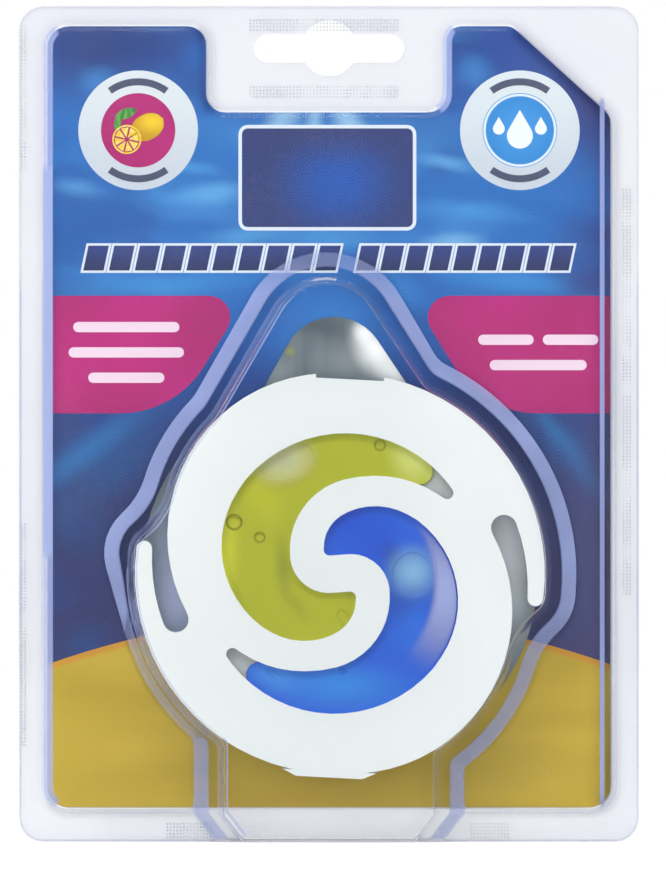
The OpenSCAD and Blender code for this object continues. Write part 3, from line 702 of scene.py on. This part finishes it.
# %% Cut the hanging slot
SLOT_HALF = 14.0
SLOT_END_R = 2.7
SLOT_RISE_R = 5.2
SLOT_Z = pack_high.z - 7.8 * MM
slot_x = SLOT_HALF - SLOT_END_R
for middle, radius in ((-slot_x, SLOT_END_R), (slot_x, SLOT_END_R), (0.0, SLOT_RISE_R)):
    bpy.ops.mesh.primitive_cylinder_add(
        vertices=64, radius=radius * MM, depth=4 * MM,
        location=(middle * MM, WELD_Y, SLOT_Z), rotation=(math.radians(90), 0, 0),
    )
    carve(film, bpy.context.object)
bpy.ops.mesh.primitive_cube_add(
    size=1, location=(0, WELD_Y, SLOT_Z), scale=(2 * slot_x * MM, 4 * MM, 2 * SLOT_END_R * MM)
)
carve(film, bpy.context.object)
smooth(film, 30)
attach(film, "root")
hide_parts("front_blister")
print("film after the slot", len(film.data.polygons), "faces")

# %% [markdown]
# ### The look of drawn film
# Flat film is clear and only mirrors a little. Where it was stretched over the mould's
# skirt it turned slightly milky, and its lavender cast is a painted reflection of the room, so
# the milky layer is partly real haze and partly painted reflection. The film's own normals
# say which face is which: a face that looks forwards is flat, one that leans is the skirt,
# and one that looks sideways is the wall. So the haze is worked out from the normals, and
# it thins out round the top of the bell. The low step over the card gets a painted reflection
# where it leans left and a painted highlight line on its right.

# %% Film
def clear_mix(tree, veil, haze, haze_roughness, gloss_roughness, waves, wave_depth, film_ior=1.13):
    """Clear film that mirrors by Fresnel, with a milky layer where haze is above nought."""
    surface = tree.nodes["Principled BSDF"]
    surface.inputs["Base Color"].default_value = veil
    surface.inputs["Roughness"].default_value = haze_roughness
    surface.inputs["Specular IOR Level"].default_value = 0.3
    clear = tree.nodes.new("ShaderNodeBsdfTransparent")
    gloss = tree.nodes.new("ShaderNodeBsdfAnisotropic")
    gloss.inputs["Roughness"].default_value = gloss_roughness
    gloss.inputs["Color"].default_value = (1, 1, 1, 1)
    facing = tree.nodes.new("ShaderNodeFresnel")
    facing.inputs["IOR"].default_value = film_ior
    bump = tree.nodes.new("ShaderNodeBump")
    bump.inputs["Distance"].default_value = wave_depth
    plug(tree, bump.inputs["Height"], waves)
    for shiny in (gloss, surface, facing):
        tree.links.new(bump.outputs["Normal"], shiny.inputs["Normal"])
    bare = tree.nodes.new("ShaderNodeMixShader")
    tree.links.new(facing.outputs["Fac"], bare.inputs[0])
    tree.links.new(clear.outputs[0], bare.inputs[1])
    tree.links.new(gloss.outputs[0], bare.inputs[2])
    full = tree.nodes.new("ShaderNodeMixShader")
    plug(tree, full.inputs[0], haze)
    tree.links.new(bare.outputs[0], full.inputs[1])
    tree.links.new(surface.outputs[0], full.inputs[2])
    tree.links.new(full.outputs[0], tree.nodes["Material Output"].inputs["Surface"])

film_finish, tree, surface = new_finish("drawn_clear_film")
normal = axes(tree, tree.nodes.new("ShaderNodeTexCoord").outputs["Normal"])
place = axes(tree, object_point(tree))
steep = maths(tree, "SUBTRACT", 1.0, maths(tree, "ABSOLUTE", normal["Y"]))
skirt_part = product(tree, spread(tree, steep, 0.12, 0.2), spread(tree, steep, 0.4, 0.6, 1.0, 0.0))
low_down = spread(tree, place["Y"], 2 * MM, 3 * MM)
thinning = spread(tree, place["Z"], 100 * MM, 108.5 * MM, 1.0, 0.3)
over_yellow = spread(tree, place["Z"], 36 * MM, 44 * MM, 0.62, 1.0)
streaky = spread(tree, noise(tree, 70, 2.0), 0.3, 0.7, 0.85, 1.1)
# milky skirt layer: partly the stretched film's real haze, partly painted reflection of the room
skirt_haze_and_reflection = product(tree, skirt_part, low_down, thinning, over_yellow, streaky)
wall_part = spread(tree, steep, 0.6, 0.9)
leans_left = spread(tree, normal["X"], -0.3, -0.2, 1.0, 0.0)
# painted reflection: the low step over the card turns pink-lavender only where it leans left
step_part = product(tree, spread(tree, steep, 0.04, 0.07), spread(tree, steep, 0.1, 0.14, 1.0, 0.0))
step_painted_reflection = product(tree, step_part, leans_left, 0.45)
haze = maths(tree, "ADD", product(tree, skirt_haze_and_reflection, 0.6), step_painted_reflection)
haze = maths(tree, "ADD", haze, product(tree, wall_part, 0.08))

# The step's painted highlight line on the right and its painted pink reflection strip on the left: sides,
# ends, strength
LINE_BLUR = 0.15
END_BLUR = 2.0

def band(tree, value, low, high, blur):
    """One between two places in millimetres, and nought outside them, with blurred ends."""
    risen = spread(tree, value, (low - blur) * MM, low * MM)
    fallen = spread(tree, value, high * MM, (high + blur) * MM, 1.0, 0.0)
    return product(tree, risen, fallen)

PAINTED_EDGE_HIGHLIGHTS = [(50.3, 51.0, 8, 136.5, 0.6), (-53.0, -51.3, 54, 124, 0.3)]
for left, right, low, high, strength in PAINTED_EDGE_HIGHLIGHTS:
    across = band(tree, place["X"], left, right, LINE_BLUR)
    along = band(tree, place["Z"], low, high, END_BLUR)
    haze = maths(tree, "ADD", haze, product(tree, across, along, strength), clamp=True)
# the lavender veil colour is painted reflection of the room
clear_mix(tree, paint("#9fadde"), haze, 0.35, 0.03, noise(tree, 22, 1.0), 0.00015)
film.data.materials.clear()
film.data.materials.append(film_finish)
print("film finish nodes", len(tree.nodes))

# %% [markdown]
# ### The flat back sheet
# It is the same film, but flat, and it shows only outside the card. There it gives the
# flange its pale bluish grey.

# %% Back sheet
def wear(nodes, finish):
    """Give solids of the frame their finish."""
    for name in nodes:
        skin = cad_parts[name].data.materials
        if len(skin) == 0:
            skin.append(finish)
        for k in range(len(skin)):
            skin[k] = finish

back_finish, tree, surface = new_finish("flat_clear_film")
cloudy = spread(tree, noise(tree, 30, 2.0), 0.3, 0.7, 0.4, 0.52)
clear_mix(tree, paint("#e4e7f0"), cloudy, 0.4, 0.08, noise(tree, 60, 2.0), 0.0001)
wear(["back_sheet"], back_finish)
print("back sheet dressed")

# %% [markdown]
# ### Weld dots
# The sheets are welded by a knurled bar, which leaves rows of small dots. They show where
# the light grazes them: down both sides and round the hanging slot. One dot is modelled,
# and copies of it are laid in rows. Each dot is a low dome of few faces.

# %% Weld dots
DOT_PITCH = 0.62 * MM
DOT_R = 0.2 * MM

def one_dot():
    bpy.ops.mesh.primitive_cone_add(vertices=6, radius1=DOT_R, radius2=DOT_R * 0.45, depth=0.09 * MM,
                                    rotation=(math.radians(90), 0, 0))
    dot = bpy.context.object
    bpy.ops.object.transform_apply(location=False, rotation=True, scale=True)
    return dot

def weld_patch(left, low, right, high, face_y):
    """Rows of dots over a rectangle of the flange, in millimetres."""
    dot = one_dot()
    for axis, extent in ((0, right - left), (2, high - low)):
        row = dot.modifiers.new("row", "ARRAY")
        row.count = max(1, int(extent * MM / DOT_PITCH))
        row.use_relative_offset = False
        row.use_constant_offset = True
        row.constant_offset_displace = [DOT_PITCH if k == axis else 0 for k in range(3)]
    apply_all(dot)
    for vertex in dot.data.vertices:
        vertex.co += Vector((left * MM, face_y, low * MM))
    return dot

flange_y = WELD_Y - FILM * MM - 0.02 * MM
patches = [
    weld_patch(-57.0, 124.6, -55.4, 152.0, flange_y),
    weld_patch(-57.0, 18.0, -55.4, 60.0, flange_y),
    weld_patch(54.6, 46.0, 57.0, 122.0, flange_y),
    weld_patch(-14.6, 150.6, 13.4, 153.6, flange_y),
    weld_patch(-14.6, 138.2, 13.4, 141.2, flange_y),
    weld_patch(-30.0, 0.9, -20.8, 4.4, flange_y),
    weld_patch(26.4, 0.9, 34.2, 4.4, flange_y),
]
bpy.ops.object.select_all(action="DESELECT")
for patch in patches:
    patch.select_set(True)
bpy.context.view_layer.objects.active = patches[0]
bpy.ops.object.join()
weld = bpy.context.object
weld.name = "weld_dots"
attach(weld, "root")
weld_finish, tree, surface = new_finish("weld_dots", 0.25)
surface.inputs["Base Color"].default_value = paint("#c9ccd8")
shown = spread(tree, noise(tree, 160, 3.0), 0.4, 0.6, 0.12, 0.6)
plug(tree, surface.inputs["Alpha"], shown)
weld.data.materials.append(weld_finish)
print("weld dots", len(weld.data.polygons), "faces")

# %% [markdown]
# ## The printed card
# The card is white board, printed on its front a little short of the cut edge. A copy of the
# solid is cleaned, its front face is inset to leave the white border, and the inner face
# takes the print. The print is a watery blue: bright across the middle, navy towards the
# corners and the foot, with soft out-of-focus patches and slanting streaks of light.

# %% Card
PRINT_BORDER = 0.3 * MM
card = clean_copy("card", "printed_card")
card_front_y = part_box("card")[0].y
pick(card, "FACE", lambda face: face.normal.y < -0.9 and abs(face.center.y - card_front_y) < 1e-5)
bpy.ops.mesh.inset(thickness=PRINT_BORDER, depth=0)
leave_edit()
board_finish, tree, surface = new_finish("white_board", 0.6, 0.3)
printed(tree, surface, paint("#eef0f2"), 0.1)
print("card", len(card.data.polygons), "faces")

# %% Watery print
blue_finish, tree, surface = new_finish("watery_blue_print", 0.38, 0.35)
place = axes(tree, object_point(tree))
height = maths(tree, "DIVIDE", place["Z"], pack_high.z, clamp=True)
sway = product(tree, maths(tree, "SUBTRACT", noise(tree, 28, 2.0, (1, 1, 2.2)), 0.5), 0.16)
height = maths(tree, "ADD", height, sway, clamp=True)
water = ramp(tree, height, [
    (0.25, "#2c3468"), (0.42, "#2b3a70"), (0.5, "#263f7c"), (0.56, "#21509a"), (0.62, "#2562ae"),
    (0.68, "#2b74c0"), (0.74, "#2569b6"), (0.82, "#2a70bc"), (0.88, "#2a63ae"), (0.94, "#254f9a"),
    (1.0, "#22427f"),
])
patchy = spread(tree, noise(tree, 75, 2.0, (0.55, 1, 1.3)), 0.52, 0.72)
upper = spread(tree, place["Z"], 86 * MM, 112 * MM)
water = blend(tree, product(tree, patchy, upper, 0.42), water, paint("#4e9bdc"))
deep = spread(tree, noise(tree, 52, 2.0, (1, 1, 1.6)), 0.52, 0.7)
water = blend(tree, product(tree, deep, 0.35), water, paint("#1d3f86"))

# Each light: across, up, half width, half height in mm, turn in degrees, colour, strength
LIGHTS = [
    (-42, 148, 22, 14, 0, "#20397a", 0.9),
    (50, 138, 17, 32, 30, "#2c3577", 0.95),
    (35, 147, 16, 12, 0, "#24489a", 0.7),
    (-43, 141, 5, 4.5, 0, "#3d86cc", 0.75),
    (-24, 146, 6, 5, 0, "#2a6cba", 0.6),
    (27, 143, 5, 5, 0, "#3f8fd4", 0.6),
    (0, 131, 34, 6, 0, "#3f8ccd", 0.8),
    (-9, 133, 4, 9, -24, "#a9d4ee", 0.6),
    (4, 133, 4, 10, 26, "#a9d4ee", 0.65),
    (-3, 133, 2.6, 8, 0, "#a9d4ee", 0.5),
    (-22, 120, 11, 3, 6, "#63aee2", 0.75),
    (-26, 125, 9, 2, -8, "#4f9fda", 0.6),
    (-47, 121, 7, 2.5, -10, "#5da3dc", 0.6),
    (22, 126, 8, 2.2, -8, "#6cb2e4", 0.65),
    (26, 117, 14, 3.5, -6, "#4b9bda", 0.7),
    (23, 111, 8, 2.6, 0, "#8bc4ea", 0.6),
    (-15, 112.5, 12, 3, 4, "#5ba8de", 0.6),
    (0, 112, 16, 4, 0, "#4ea0dc", 0.6),
    (-31, 103.5, 22, 3, 2, "#3e93d6", 0.75),
    (36, 104, 20, 3.4, -4, "#3c8fd4", 0.75),
    (12, 102.5, 10, 4, -30, "#3b8ed6", 0.5),
    (0, 96, 16, 14, 0, "#2c7cca", 0.7),
    (50, 112, 12, 9, 0, "#2a3f86", 0.8),
    (49, 104, 9, 5, 0, "#323a7c", 0.8),
    (-44, 73, 22, 4.6, 36, "#2a72b4", 0.85),
    (-38, 71, 18, 7, 36, "#225a98", 0.6),
    (-48, 60, 8, 10, 60, "#22508e", 0.5),
    (45, 72, 19, 2.8, -52, "#2a78b8", 0.85),
    (45, 72, 21, 6, -52, "#2b5f9f", 0.45),
    (52, 52, 12, 46, 0, "#4b4b78", 0.85),
    (43, 52, 12, 26, 0, "#46487a", 0.7),
    (31, 88, 14, 14, -40, "#2b3c80", 0.6),
    (-45, 36, 7, 7, 0, "#1f4b8c", 0.6),
    (-26, 62, 14, 24, 20, "#2a376c", 0.7),
]
printed(tree, surface, lay_glows(tree, water, LIGHTS, 3.0), 0.1)

card.data.materials.clear()
card.data.materials.append(board_finish)
card.data.materials.append(blue_finish)
for face in card.data.polygons:
    inner = face.normal.y < -0.9 and face.area > 100 * MM * MM
    face.material_index = 1 if inner else 0
smooth(card)
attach(card, "root")
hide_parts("card")
print("print covers", round(sum(f.area for f in card.data.polygons if f.material_index) / MM / MM), "mm2")

# %% [markdown]
# ### The inks
# Every printed field is a solid of its own on the card, so it only needs its colour and the
# grain of print. The yellow field has an orange band along its top, the badges' rings shade
# from white to blue-grey, and the panel is lighter in its middle, as in the photograph.

# %% Plain inks
def ink(name, code, strength=0.12):
    finish, tree, surface = new_finish(name, 0.38, 0.4)
    printed(tree, surface, paint(code), strength)
    return finish

FIELD_R = 155.0
FIELD_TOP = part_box("print_yellow_field")[1].z / MM

yellow_finish, tree, surface = new_finish("yellow_ink", 0.38, 0.4)
place = axes(tree, object_point(tree))
streaks = spread(tree, noise(tree, 60, 2.0, (0.35, 1, 1.6)), 0.3, 0.7)
field = blend(tree, streaks, paint("#b9a02f"), paint("#c9ae3a"))
field = lay_glows(tree, field, [(0, 9, 34, 9, 0, "#b08a2c", 0.35)], 0.0)
orange = ring(tree, 0, FIELD_TOP - FIELD_R, FIELD_R, 1.5)
field = blend(tree, product(tree, orange, 0.85), field, paint("#cf9230"))
printed(tree, surface, field, 0.1)
wear(["print_yellow_field"], yellow_finish)

magenta_finish, tree, surface = new_finish("magenta_ink", 0.38, 0.4)
shade = spread(tree, noise(tree, 40, 2.0), 0.3, 0.7)
printed(tree, surface, blend(tree, shade, paint("#ab1f6f"), paint("#bd2380")), 0.1)
wear(["print_left_flash", "print_right_flash", "print_left_disc"], magenta_finish)
wear(["print_flash_lines"], ink("pink_white_ink", "#f0dcec"))
wear(["print_panel_border", "print_title_edges"], ink("white_ink", "#dfe9f4"))
wear(["print_badge_marks"], ink("slate_ink", "#47506a"))
wear(["print_drops"], ink("drop_ink", "#eef5fb"))
print("plain inks done")

# %% Shaded inks
panel_low, panel_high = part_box("print_panel")
panel_x = (panel_low.x + panel_high.x) / 2 / MM
panel_z = (panel_low.z + panel_high.z) / 2 / MM
panel_finish, tree, surface = new_finish("panel_ink", 0.38, 0.4)
navy = blend(tree, spot(tree, panel_x + 2, panel_z - 1, 15, 12), paint("#2c3c74"), paint("#1d56ae"))
navy = lay_glows(tree, navy, [(panel_x, panel_z + 9, 22, 7, 0, "#33396a", 0.5)], 0.0)
printed(tree, surface, navy, 0.1)
wear(["print_panel"], panel_finish)

title_finish, tree, surface = new_finish("title_ink", 0.38, 0.4)
place = axes(tree, object_point(tree))
title_low, title_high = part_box("print_title_blocks")
up_block = spread(tree, place["Z"], title_low.z, title_high.z)
printed(tree, surface, blend(tree, up_block, paint("#22305e"), paint("#2c3f7e")), 0.12)
wear(["print_title_blocks"], title_finish)

ring_finish, tree, surface = new_finish("badge_ring_ink", 0.34, 0.45)
place = axes(tree, object_point(tree))
ring_low, ring_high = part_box("print_badge_rings")
up_ring = spread(tree, place["Z"], ring_low.z, ring_high.z)
pale = blend(tree, up_ring, paint("#c9d3dd"), paint("#dce6ea"))
printed(tree, surface, pale, 0.08)
wear(["print_badge_rings"], ring_finish)

sky_finish, tree, surface = new_finish("sky_ink", 0.38, 0.4)
sky_low, sky_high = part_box("print_right_disc")
sky_x = (sky_low.x + sky_high.x) / 2 / MM
sky_z = (sky_low.z + sky_high.z) / 2 / MM
sky_r = (sky_high.x - sky_low.x) / 2 / MM
sky = blend(tree, spot(tree, sky_x, sky_z, 8, 8), paint("#2b86cf"), paint("#3f97dc"))
sky = blend(tree, ring(tree, sky_x, sky_z, sky_r - 0.35, 0.3), sky, paint("#dcebf7"))
printed(tree, surface, sky, 0.08)
wear(["print_right_disc"], sky_finish)
print("badge disc", round(sky_x, 1), round(sky_z, 1), "radius", round(sky_r, 1))

# %% Fruit inks
lemon_low, lemon_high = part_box("print_lemon")
lemon_x = (lemon_low.x + lemon_high.x) / 2 / MM
lemon_z = (lemon_low.z + lemon_high.z) / 2 / MM
lemon_finish, tree, surface = new_finish("lemon_ink", 0.4, 0.4)
rind = blend(tree, spot(tree, lemon_x + 1, lemon_z + 1, 4.6, 3.2), paint("#c59a17"), paint("#f2d22e"))
pores = spread(tree, noise(tree, 2600, 2.0), 0.5, 0.7)
rind = blend(tree, product(tree, pores, 0.25), rind, paint("#c79a10"))
printed(tree, surface, rind, 0.1)
wear(["print_lemon"], lemon_finish)

slice_finish, tree, surface = new_finish("slice_ink", 0.4, 0.4)
flesh = blend(tree, spread(tree, noise(tree, 1500, 3.0), 0.35, 0.65), paint("#eec63a"), paint("#f9e37c"))
printed(tree, surface, flesh, 0.08)
wear(["print_lemon_slice"], slice_finish)

leaf_finish, tree, surface = new_finish("leaf_ink", 0.4, 0.4)
vein = spread(tree, noise(tree, 900, 2.0, (1, 1, 0.3), 30), 0.4, 0.6)
printed(tree, surface, blend(tree, vein, paint("#2c7a3a"), paint("#63ab4c")), 0.08)
wear(["print_leaves"], leaf_finish)
print("fruit inks done")

# %% [markdown]
# ## The freshener
# The frame is moulded in satin white plastic with rounded edges. A bevel on a cleaned copy
# of the solid gives the edges, where the light shows the real part's roundness.

# %% White frame
shell = clean_copy("freshener_frame", "moulded_frame")
round_edges(shell, 0.35 * MM, 4)
smooth(shell)
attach(shell, "root")
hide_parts("freshener_frame")
white_finish, tree, surface = new_finish("satin_white_plastic", 0.32, 0.5)
cast = spread(tree, noise(tree, 14, 2.0), 0.35, 0.65)
tone = blend(tree, cast, paint("#dde4e5"), paint("#e6ebeb"))
surface.inputs["Coat Weight"].default_value = 0.15
tree.links.new(tone, surface.inputs["Base Color"])
relief(tree, surface, noise(tree, 3000, 3.0), 0.000006)
shell.data.materials.clear()
shell.data.materials.append(white_finish)
print("frame", len(shell.data.polygons), "faces")

# %% [markdown]
# ### The gels
# Each gel fills its half of the tray and shows as a comma in the frame's window. A comma is a
# belt round ten circles, and the other one is the same belt turned by half a turn. The gel is
# stacked from that outline with a rounded front edge, as gel creeps into the tray's rounded
# edge, and shallow air bubbles are pressed in with flattened balls.

# %% Comma outlines
COMMA = [
    (complex(-0.9, -1.9), 24.05),
    (complex(3.51, -4.92), 18.6),
    (complex(6.52, 0.34), 12.45),
    (complex(3.64, 5.1), 6.85),
    (complex(-2.08, 4.35), 1.15),
    (complex(2.18, -3.51), -7.23),
    (complex(-3.89, -4.63), -13.36),
    (complex(-5.39, -2.02), -16.25),
    (complex(-6.77, 2.83), -21.23),
]

def comma(tail_r, grow, half_turn, chord=0.6):
    """A window's outline in the pack's axes, with its tail rounded to that radius."""
    belly, hollow = COMMA[0], COMMA[-1]
    tail = meet(belly[0], belly[1] - tail_r, hollow[0], tail_r - hollow[1], 1)
    way = -1 if half_turn else 1
    wheels = [(placed(way * middle), radius) for middle, radius in [(tail, tail_r)] + COMMA]
    steps = fine_steps(wheels, chord)
    plain = belt(wheels, steps)
    grown = belt(wheels, steps, grow)
    return [point for k, point in enumerate(grown) if abs(plain[k] - plain[k - 1]) > 0.02]

# The gel's front lies just behind the tray's inner face, because faces in one place flicker
GEL_FRONT_D = 14.0
GEL_BACK_D = 0.9
GEL_TAIL_R = 2.2
WINDOW_TAIL_R = 1.15
SHOULDER_SINK = 0.6
print("comma", len(comma(2.0, 0, False)), "points")

# %% Gel shapes
def press_bubbles(gel, bubbles):
    """Shallow hollows: across, up, half width, half height, turn in degrees, depth."""
    front_y = WELD_Y - GEL_FRONT_D * MM
    for across, up, half_width, half_height, turn, depth in bubbles:
        bpy.ops.mesh.primitive_uv_sphere_add(segments=32, ring_count=16, radius=1)
        ball = bpy.context.object
        ball.scale = (half_width * MM, depth * MM, half_height * MM)
        ball.rotation_euler = (0, -math.radians(turn), 0)
        ball.location = (across * MM, front_y, up * MM)
        bpy.ops.object.transform_apply(location=True, rotation=True, scale=True)
        carve(gel, ball)

def gel_fill(name, half_turn, bubbles):
    """A gel with a rounded front edge and its bubbles."""
    shape = [(GEL_BACK_D, 0.25), (GEL_FRONT_D - 0.5, 0.25), (GEL_FRONT_D - 0.2, 0.2), (GEL_FRONT_D, 0.02)]
    gel = stack(name, [(comma(GEL_TAIL_R, grow, half_turn), depth) for depth, grow in shape])
    press_bubbles(gel, bubbles)
    return gel

yellow = gel_fill("yellow_gel_fill", True, [
    (-8.1, 70.6, 5.7, 3.4, 14, 0.45),
    (-17.5, 59.4, 1.5, 1.1, 0, 0.5),
    (-12.8, 56.6, 0.95, 0.8, 0, 0.4),
    (9.4, 73.6, 1.0, 0.8, 0, 0.4),
    (2.5, 42.0, 1.0, 1.3, 30, 0.3),
])
blue = gel_fill("blue_gel_fill", False, [
    (15.4, 49.6, 3.8, 4.3, 0, 0.45),
    (2.4, 31.8, 0.7, 0.6, 0, 0.3),
    (-10.4, 31.4, 1.4, 0.7, -30, 0.3),
])
print("gels", len(yellow.data.polygons), len(blue.data.polygons), "faces")

# %% Gel colours
def gel_finish(name, base, glows, shaded_bubble_rims):
    """Wet gel: a base colour with painted highlights and painted shade over it as soft spots, and a painted
    dark line round each small bubble.
    """
    finish, tree, surface = new_finish(name, 0.3, 0.3)
    surface.inputs["Coat Weight"].default_value = 0.1
    surface.inputs["Coat Roughness"].default_value = 0.05
    colour = paint(base)
    colour = lay_glows(tree, colour, glows, 1.2)
    for across, up, radius, half_width, code, strength in shaded_bubble_rims:
        line = ring(tree, across, up, radius, half_width)
        colour = blend(tree, product(tree, line, strength), colour, paint(code))
    plug(tree, surface.inputs["Base Color"], colour)
    relief(tree, surface, noise(tree, 120, 2.0), 0.00008)
    return finish

# Yellow gel: painted highlights on its left edge and upper right, painted shade in darker places, and the
# large bubble's painted dark rim and pale middle
yellow_look = gel_finish(
    "yellow_gel", "#b0b62a",
    [
        (-20, 50, 4, 20, -6, "#d8dc38", 0.9),
        (-16, 38, 6, 12, 40, "#cbd038", 0.8),
        (-12, 64, 5, 8, 30, "#c6c92e", 0.5),
        (-8.5, 51, 2.2, 9, 5, "#92972c", 0.8),
        (-6, 44, 2.0, 5, 40, "#92972c", 0.5),
        (15.5, 70.5, 7, 5, -35, "#d2da74", 0.95),
        (21, 67.5, 4, 3, -35, "#bccb7c", 0.8),
        (13, 43.5, 4, 4.5, 0, "#7f8c1e", 0.85),
        (11.2, 43.0, 1.2, 2.2, 30, "#d6dc52", 0.9),
        (-8.1, 70.4, 8.6, 6.2, 14, "#8a851c", 0.85),
        (-8.1, 70.6, 7.8, 5.4, 14, "#e2e08a", 0.8),
        (-8.3, 70.8, 7.4, 5.0, 14, "#bcc293", 1.0),
    ],
    [
        (-17.5, 59.4, 1.35, 0.3, "#7d8420", 0.8),
        (-12.8, 56.6, 0.95, 0.25, "#80871f", 0.7),
        (9.4, 73.6, 1.0, 0.25, "#80871f", 0.7),
    ],
)
# Blue gel: painted shade at its top, painted light lower down, and its bubble's painted dark rim and pale
# middle
blue_look = gel_finish(
    "blue_gel", "#2562da",
    [
        (3, 61, 14, 9, 0, "#1a50d0", 0.95),
        (8, 55, 8, 8, -40, "#1d54d2", 0.9),
        (12, 52, 3, 6, 20, "#173f9e", 0.7),
        (13.5, 43, 3, 6, 0, "#2450b4", 0.6),
        (16, 40, 6, 8, -10, "#2a72e2", 0.7),
        (2, 29, 17, 6, 0, "#338ae6", 0.95),
        (-10, 31, 8, 4, -20, "#4a96e6", 0.7),
        (15.4, 48.6, 7.4, 7.8, 0, "#1c439e", 0.7),
        (15.4, 50.2, 6.8, 6.6, 0, "#84b8e2", 1.0),
    ],
    [],
)
for gel, look, node in ((yellow, yellow_look, "yellow_gel"), (blue, blue_look, "blue_gel")):
    gel.data.materials.clear()
    gel.data.materials.append(look)
    smooth(gel)
    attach(gel, "root")
    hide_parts(node)
print("gel finishes done")

# %% [markdown]
# ### Tray and foil
# The tray is clear formed film like the blister, but it mirrors nothing here, because its
# flat front would veil the gels. A painted lavender sheen lies over the right-hand side of its
# blue chamber as a wide band, and a grey sheet of painted shade stands for its shoulder in the
# empty tail of each window. The foil lid shows as the peel tab over the frame and in the gaps
# behind the arms: soft bright metal with the fine lines of rolling, with painted shade at its
# top, a painted highlight on its right side, and painted light in the gaps.

# %% Tray
COMMA_MIDDLE = placed(complex(-0.9, -1.9))
tray_finish, tree, surface = new_finish("clear_tray")
# painted lavender sheen on the right-hand side of the blue chamber, laid on as haze
sheen = ring(tree, COMMA_MIDDLE.real, COMMA_MIDDLE.imag, 21.4, 3.6)
sheen = product(tree, sheen, spot(tree, 22, 47, 13, 18), 0.8)
clear_mix(tree, paint("#a7b2e6"), sheen, 0.4, 0.04, noise(tree, 60, 2.0), 0.00001, film_ior=1.001)
wear(["gel_tray"], tray_finish)

# %% The tray's shoulder behind each window, a grey sheet of painted shade
shoulder_shade_finish, tree, surface = new_finish("shoulder_painted_shade", 0.4, 0.4)
# grey standing for the shade seen through the clear tray's shoulder
cloud = spread(tree, noise(tree, 90, 2.0), 0.3, 0.7)
plug(tree, surface.inputs["Base Color"], blend(tree, cloud, paint("#a0a7a7"), paint("#b0b6b5")))
for half_turn, name in ((False, "tray_shoulder_blue"), (True, "tray_shoulder_yellow")):
    edge = comma(WINDOW_TAIL_R, 0.4, half_turn)
    shoulder = stack(name, [(edge, GEL_FRONT_D - SHOULDER_SINK - 0.1), (edge, GEL_FRONT_D - SHOULDER_SINK)])
    shoulder.data.materials.append(shoulder_shade_finish)
    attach(shoulder, "root")
print("shoulders made")

# %% Foil
foil_finish, tree, surface = new_finish("rolled_foil", 0.36, 0.5)
surface.inputs["Metallic"].default_value = 0.85
rolling = noise(tree, 400, 2.0, (1, 1, 0.08), 8)
metal = blend(tree, spread(tree, rolling, 0.3, 0.7), paint("#667178"), paint("#727d84"))
# Painted highlights and painted shade on the foil tab, and painted light in the gaps behind the arms:
# across, up, half width, half height, turn, colour, strength
FOIL_PAINTED_LIGHT_AND_SHADE = [
    (-2, 96, 10, 4, -10, "#4d575f", 0.8),
    (4, 89, 10, 5, 0, "#8b9499", 0.7),
    (8.8, 91.2, 8.5, 5.2, -54, "#f8fbfa", 1.0),
    (6.6, 94.2, 3.5, 2.6, -54, "#f4f6f6", 1.0),
    (12, 87.5, 6, 4, -50, "#eef2f0", 0.9),
    (3, 84.6, 12, 2.0, 0, "#6a7479", 0.7),
    (-9, 87, 5, 4, 60, "#929b9e", 0.6),
    (-7.2, 91, 1.6, 1.4, 0, "#98a03c", 0.6),
    (-27, 47, 9, 20, 0, "#b4bde0", 1.0),
    (33, 52, 8, 20, 0, "#ccd3da", 1.0),
]
plug(tree, surface.inputs["Base Color"], lay_glows(tree, metal, FOIL_PAINTED_LIGHT_AND_SHADE, 1.0))
relief(tree, surface, noise(tree, 130, 3.0), 0.0002)
wear(["foil_lid"], foil_finish)
print("tray and foil dressed")
